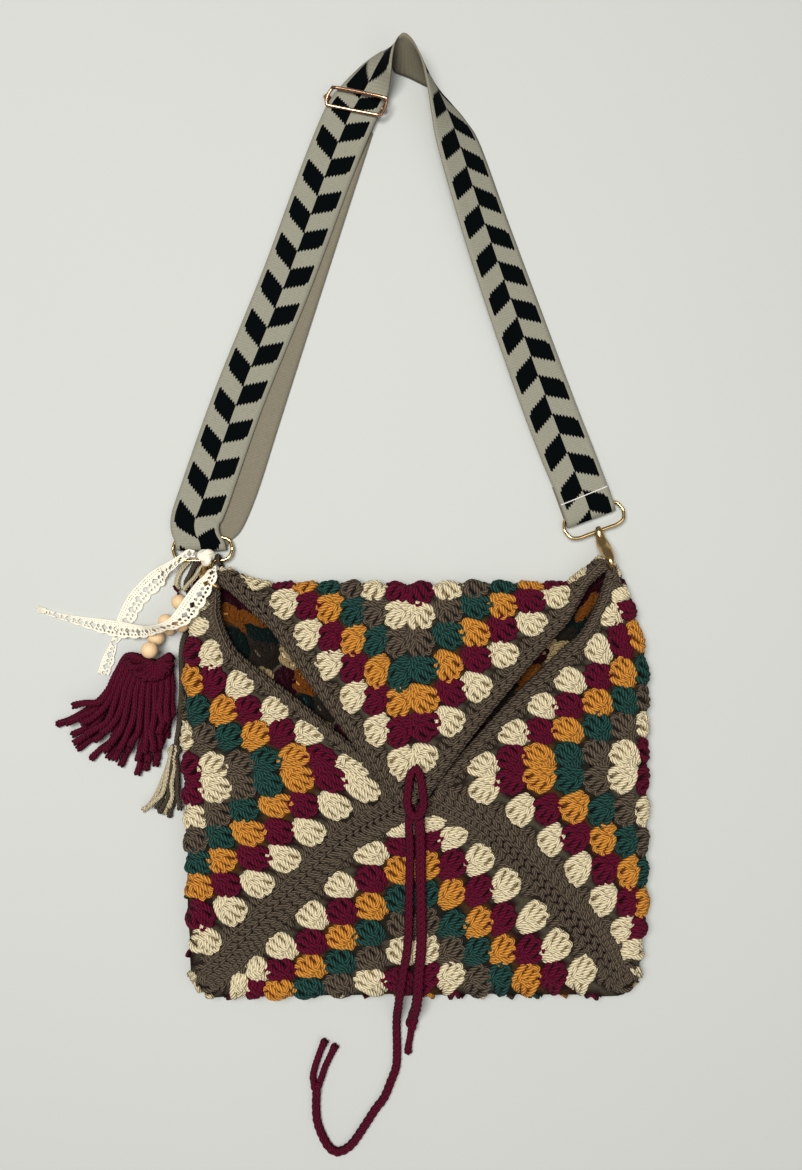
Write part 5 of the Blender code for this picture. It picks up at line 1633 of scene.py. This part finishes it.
@dataclass
class Tassel:
    """A tassel lying on the table: plied strands over its head and out along the table."""

    name: str
    top: tuple
    roots: tuple
    ends: tuple
    columns: int
    rows: int
    head_half: tuple
    strand_half: float
    row_shortening: float
    shades: tuple
    pinch: tuple
    curl: float
    curl_reach: float
    lay: float = 8.0

    @staticmethod
    def along(points: tuple, share: Array) -> Array:
        """Places at even shares along a line of points."""
        table = np.array(points, dtype=float).reshape(len(points), -1)
        return between(share, np.linspace(0.0, 1.0, len(table)), table)

    def head_point(self, a: float, b: float, s: float) -> Array:
        """A point of the head's skin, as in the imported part: a across, b up, s down its length."""
        share = (a * math.sqrt(1 - 0.25 * b * b) + 1) / 2
        plan = (1 - s) * self.along(self.top, share) + s * self.along(self.roots, share)
        half = float(self.along(self.head_half, s)[0])
        rise = half * b * math.sqrt(1 - 0.35 * a * a)
        return np.array([plan[0], plan[1], half + 0.2 + rise])

    def path(self, i: int, j: int, rng: np.random.Generator) -> Array:
        """One strand's own points: over the head, down to the table and out to its end."""
        a = (i + 0.5 + 0.3 * (j % 2)) / self.columns * 2 - 1
        a = float(np.clip(a, -0.97, 0.97))
        b = (j + 0.5) / self.rows * 2 - 1
        pinch = np.array(self.pinch, dtype=float) + [1.2 * a, 0.0, 1.4 * b]
        turn = self.curl * a * abs(a) ** 0.5
        away = self.curl_reach * (1.0 - 0.5 * min(a, 0.0))
        lobe = pinch + away * np.array([math.sin(turn), -math.cos(turn), 0.25 * (1 + b)])
        head = [pinch, lobe, *(self.head_point(a, 0.9 * b, s) for s in (0.35, 0.75))]
        root = self.head_point(a, 0.9 * b, 1.0)
        end = self.along(self.ends, (i + 0.25 + 0.5 * (j % 2)) / self.columns)
        reach = np.array([end[0] - root[0], end[1] - root[1], 0.0])
        distance = np.linalg.norm(reach)
        direction = reach / distance
        across = np.array([-direction[1], direction[0], 0.0])
        length = distance - self.row_shortening * j - 3.0 * ((i * 2 + j) % 3) + rng.normal(0, 1.2)
        height = self.strand_half + 0.15 + j * (2 * self.strand_half + 0.3)
        sway = rng.normal(0.0, 1.5, 3)
        points = [*head, root]
        for share, bend in ((0.3, sway[0] * 0.5), (0.55, sway[1]), (0.8, sway[2]), (1.0, sway[2])):
            place = root + direction * (length * share) + across * bend
            place[:2] += 0.4 * share * (1 - share) * np.array([-reach[0], reach[1]])
            drop = float(smooth(np.array(share / 0.45)))
            place[2] = root[2] + (height - root[2]) * drop + 0.4 * abs(bend)
            points.append(place)
        return curve_through(points, 1.3)

    def build(self) -> Piece:
        """Make all the strands, and the head's plain filling."""
        rng = np.random.default_rng(SEED + self.columns)
        slots = {shade: number for number, shade in enumerate(dict.fromkeys(self.shades))}
        patches = []
        for i in range(self.columns):
            for j in range(self.rows):
                path = self.path(i, j, rng)
                patch = twisted(path, self.strand_half, 3, self.lay, 6, rng.uniform(0, 6), 0.45)
                shade = self.shades[(i + j * 2) % len(self.shades)]
                patch.slots = np.full_like(patch.slots, slots[shade])
                patches.append(patch)
        spine = np.array([self.head_point(0.0, -0.1, s) for s in np.linspace(0.25, 1, 7)])
        width = np.linalg.norm(self.head_point(0.9, 0.0, 1.0) - self.head_point(-0.9, 0.0, 1.0)) / 2
        across = np.linspace(width * 0.35, width * 0.8, 7)
        rise = self.along(self.head_half, np.linspace(0, 1, 7))[:, 0] * 0.7
        flatten = (rise / across)[None, :, None, None]
        patches.append(tube(spine, across * 0.9, 14, flatten=flatten))
        return add_piece("strands_" + self.name, Patch.joined(patches),
                         [FINISH[shade] for shade in slots], (self.name,))


def tassels() -> Piece:
    """Make both tassels, and give the small one."""
    Tassel("tassel_large",
           top=((-212.0, 106.0), (-200.0, 105.5), (-192.0, 103.5), (-181.5, 103.5)),
           roots=((-223.5, 86.0), (-218.5, 78.5), (-210.0, 74.5), (-200.0, 72.5), (-189.0, 73.5),
                  (-178.4, 77.0)),
           ends=((-268.5, 50.5), (-260.0, 36.0), (-248.0, 26.5), (-236.0, 20.0), (-222.0, 15.5),
                 (-210.0, 12.0), (-200.0, 9.0), (-192.5, 17.5), (-187.0, 28.0), (-180.6, 41.0)),
           columns=11, rows=3, head_half=(4.6, 6.4, 7.0, 6.9), strand_half=2.7,
           row_shortening=8.0, shades=(Shade.CRANBERRY,), pinch=(-190.5, 95.0, 11.0),
           curl=2.2, curl_reach=11.0).build()
    return Tassel("tassel_small", top=((-180.6, 30.0), (-177.6, 30.4)),
                  roots=((-184.4, 19.0), (-179.6, 16.6), (-175.6, 17.6)),
                  ends=((-206.0, -14.0), (-196.0, -19.5), (-188.0, -22.0), (-181.0, -22.0),
                        (-175.6, -20.0)),
                  columns=4, rows=2, head_half=(2.4, 4.0, 4.0), strand_half=2.0,
                  row_shortening=3.0, shades=(Shade.CREAM, Shade.TAUPE),
                  pinch=(-178.4, 33.0, 3.2),
                  curl=0.9, curl_reach=4.0).build()


@dataclass
class Lace:
    """The cotton lace ribbon: its knot and its two tails, with real holes and a frayed end."""

    thickness: float = 1.0
    cell: float = 0.7
    columns: int = 22
    motif: float = 9.3
    usual_width: float = 14.0
    diamond: tuple = (2.7, 0.34)
    round_hole: tuple = (1.2, 0.19)
    small_hole: tuple = (1.0, 0.14)
    dot_pitch: float = 1.9
    dot_length: float = 0.75
    dot_rows: tuple = (0.52, 0.80)
    dot_half: float = 0.05
    scallop_from: float = 0.80
    scallop_depth: float = 0.2
    least_width: float = 0.01
    covered: float = 0.8

    def holes(self, run: Array, width: Array) -> Array:
        """Which cells of the net are holes, by the run and the width at each row.

        A cell is a hole inside a diamond |run| ÷ 2.7 + |off| ÷ 0.34 < 1 in the middle of each
        motif, where run is in millimetres and off is a share of half the band's usual width. It
        is one too inside a round between two diamonds, in a row of small rounds, three to a
        motif, in two rows of dots, and outside a scalloped edge.
        """
        along = (run[:-1] + run[1:])[:, None] / 2
        off = (np.arange(self.columns) + 0.5)[None] / self.columns * 2 - 1
        wide = np.interp(along, run, width) / self.usual_width
        near = np.mod(along, self.motif) - self.motif / 2
        beside = self.motif / 2 - np.abs(near)
        step = self.motif / 3
        near_small = np.mod(along, step) - step / 2
        big = np.abs(near) / self.diamond[0] + np.abs(off - 0.02) * wide / self.diamond[1] < 1.0
        made = big
        for reach, level, (half_run, half_off) in ((beside, (off + 0.02) * wide, self.round_hole),
                                                   (near_small, off - 0.50, self.small_hole)):
            made = made | ((reach / half_run) ** 2 + (level / half_off) ** 2 < 1.0)
        for row in self.dot_rows:
            in_row = np.abs(off + row) < self.dot_half
            made = made | (in_row & (np.mod(along, self.dot_pitch) < self.dot_length))
        edge = self.scallop_from + self.scallop_depth * np.abs(np.cos(math.pi * along / self.motif))
        return made | (off > edge)

    def tail(self, name: str, stations: list, finish: Material) -> Piece:
        """Make one tail: a fine grid with its hole cells left out, then closed at each edge."""
        one, two, run = band_edges(stations, self.cell, 0.0)
        width = np.linalg.norm(two - one, axis=1)
        sheet, normal = sheet_between(one, two, self.columns)
        lift = normal * self.thickness / 2
        quads = grid_cells(len(run), self.columns + 1)[~self.holes(run, width)]
        patch = Patch.closed_sheet((sheet + lift).reshape(-1, 3), (sheet - lift).reshape(-1, 3), quads)
        piece = add_piece("net_" + name, patch.without_loose(), [finish], (name,))
        return piece

    def build(self) -> None:
        """Make both tails, the frayed end of one, and the knot."""
        finish = CottonThread("cotton_lace", "e2dbc8").build()
        over_bag = [
            ((-150.6, 162.6, 21.0), (-145.0, 166.2, 20.0)), ((-153.0, 158.6, 25.4), (-143.2, 158.2, 25.4)),
            ((-158.0, 154.0, 26.4), (-146.6, 149.0, 26.4)), ((-165.5, 144.5, 26.0), (-152.8, 137.0, 26.0)),
            ((-173.0, 133.8, 25.6), (-161.0, 126.6, 25.0)), ((-178.5, 127.0, 28.0), (-170.0, 121.0, 24.0)),
            ((-185.5, 123.6, 28.5), (-180.0, 119.0, 23.6)), ((-193.0, 122.4, 22.0), (-189.0, 116.0, 18.5)),
            ((-203.5, 122.5, 10.5), (-200.5, 113.0, 10.0)), ((-219.0, 125.0, 3.8), (-218.0, 112.6, 3.8)),
            ((-233.5, 126.8, 1.9), (-232.5, 115.8, 1.9)), ((-248.0, 128.4, 0.9), (-247.5, 120.8, 0.9)),
            ((-262.0, 130.6, 0.9), (-261.0, 125.6, 0.9)), ((-277.5, 134.6, 0.9), (-276.5, 130.6, 0.9)),
        ]
        on_table = [
            ((-161.4, 177.4, 16.0), (-160.9, 172.4, 16.0)), ((-167.0, 178.0, 13.4), (-166.6, 171.4, 13.4)),
            ((-173.0, 174.0, 11.8), (-174.5, 166.0, 11.4)), ((-182.4, 168.8, 8.4), (-183.4, 158.4, 6.6)),
            ((-195.4, 162.4, 2.2), (-186.6, 151.6, 2.2)), ((-205.3, 153.5, 0.7), (-195.7, 143.5, 0.7)),
            ((-213.6, 143.7, 0.7), (-202.4, 135.3, 0.7)), ((-220.7, 130.0, 0.7), (-209.3, 124.0, 0.7)),
            ((-224.0, 118.2, 0.7), (-217.0, 114.0, 0.7)), ((-226.8, 108.6, 0.7), (-221.8, 107.0, 0.7)),
            ((-232.6, 97.6, 0.7), (-223.8, 95.0, 0.7)), ((-236.4, 86.0, 0.7), (-228.0, 84.6, 0.7)),
        ]
        self.tail("lace_tail_a", over_bag, finish)
        self.tail("lace_tail_b", on_table, finish)
        self.frayed_end(finish)
        self.knot(finish)

    def frayed_end(self, finish: Material) -> None:
        """Make the five loose threads at the end of the tail over the bag."""
        frays = [curve_through([(-274.5, 134.2 - 0.7 * i, 1.3), (-279.0, 135.2 - 0.9 * i, 0.9),
                                (-283.0 - 1.4 * (i % 3), 138.0 - 1.5 * i, 0.8)], 0.9)[:9]
                 for i in range(5)]
        threads = Patch.joined([tube(path, 0.4, 5, up=None) for path in frays])
        add_piece("frayed_lace_end", threads, [finish])

    def knot(self, finish: Material) -> None:
        """Make the overhand knot on the ring, with a plain core."""
        centre = np.array([-153.0, 172.6, 15.9])
        wrap = tube(trefoil(72, (4.2, 4.6, 2.6), centre), 2.5, 10, True, 0.75, (0.05, 0.1, 1.0))
        line = centre + np.linspace(-1, 1, 7)[:, None] * [0.0, 5.0, 0.4]
        core = tube(line, [1.0, 3.4, 4.6, 5.0, 4.6, 3.4, 1.0], 14, flatten=0.75)
        add_piece("tied_lace_knot", Patch.joined([wrap, core]), [finish],
                  ("lace_knot",))


@dataclass
class Studio:
    """The camera above the table, the pale tabletop and soft light."""

    centre: tuple = (-10.4, 152.0)
    distance: float = 850.0
    view_height: float = 872.0
    sensor_height: float = 24.0
    board_half: float = 6.0
    board_drop: float = 0.0003
    sky_strength: float = 0.18

    def camera(self) -> None:
        """Look straight down on the photograph's middle with its own field of view."""
        lens = bpy.data.cameras.new("camera")
        lens.sensor_fit = "VERTICAL"
        lens.sensor_height = self.sensor_height
        lens.lens = self.sensor_height * self.distance / self.view_height
        lens.clip_start = 0.01
        eye = bpy.data.objects.new("camera", lens)
        eye.location = (self.centre[0] * MM, self.centre[1] * MM, self.distance * MM)
        bpy.context.scene.collection.objects.link(eye)
        bpy.context.scene.camera = eye

    def table(self) -> None:
        """Lay a large pale board just under the bag."""
        mesh = bpy.data.meshes.new("table")
        half = self.board_half
        mesh.from_pydata([(-half, -half, 0), (half, -half, 0), (half, half, 0), (-half, half, 0)], [],
                         [(0, 1, 2, 3)])
        mesh.materials.append(PaleBoard("matte_board", "b0b2ae").build())
        board = bpy.data.objects.new("table", mesh)
        board.location = (0.0, 0.0, -self.board_drop)
        bpy.context.scene.collection.objects.link(board)

    def light(self, name: str, place: tuple, size: float, power: float, colour: tuple) -> None:
        """Add one soft square light that faces the bag."""
        lamp = bpy.data.lights.new(name, "AREA")
        lamp.size = size
        lamp.energy = power
        lamp.color = colour
        thing = bpy.data.objects.new(name, lamp)
        thing.location = place
        aim = np.array([0.0, 0.12, 0.0]) - np.array(place)
        thing.rotation_euler = Vector(aim).to_track_quat("-Z", "Y").to_euler()
        bpy.context.scene.collection.objects.link(thing)

    def build(self) -> None:
        """Set up the camera, the table, the lights and the plain colour handling."""
        self.camera()
        self.table()
        self.light("window", (-0.4, 0.42, 2.12), 0.9, 63.0, (1.0, 0.99, 0.965))
        self.light("fill", (0.8, -0.35, 2.0), 1.5, 10.8, (1.0, 0.995, 0.98))
        world = bpy.data.worlds.new("studio")
        world.use_nodes = True
        sky = world.node_tree.nodes["Background"]
        sky.inputs[0].default_value = (1.0, 0.99, 0.97, 1.0)
        sky.inputs[1].default_value = self.sky_strength
        bpy.context.scene.world = world
        bpy.context.scene.view_settings.view_transform = "Standard"


def main() -> None:
    """Build every sub-assembly in order."""
    logging.basicConfig(level=logging.INFO, format="%(name)s: %(message)s")
    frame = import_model()
    LOG.info("%d solids in the frame", len(frame["nodes"]))
    Studio().build()
    for shade, yarn in YARNS.items():
        FINISH[shade] = yarn.build()
    TieCord().build()
    charms = Charms()
    small = tassels()
    charms.long_cord()
    charms.yarn_ends()
    charms.beads()
    Strap().build()
    Hardware().build()
    Crochet(FoldedSquare()).build()
    Lace().build()


if __name__ == "__main__":
    main()
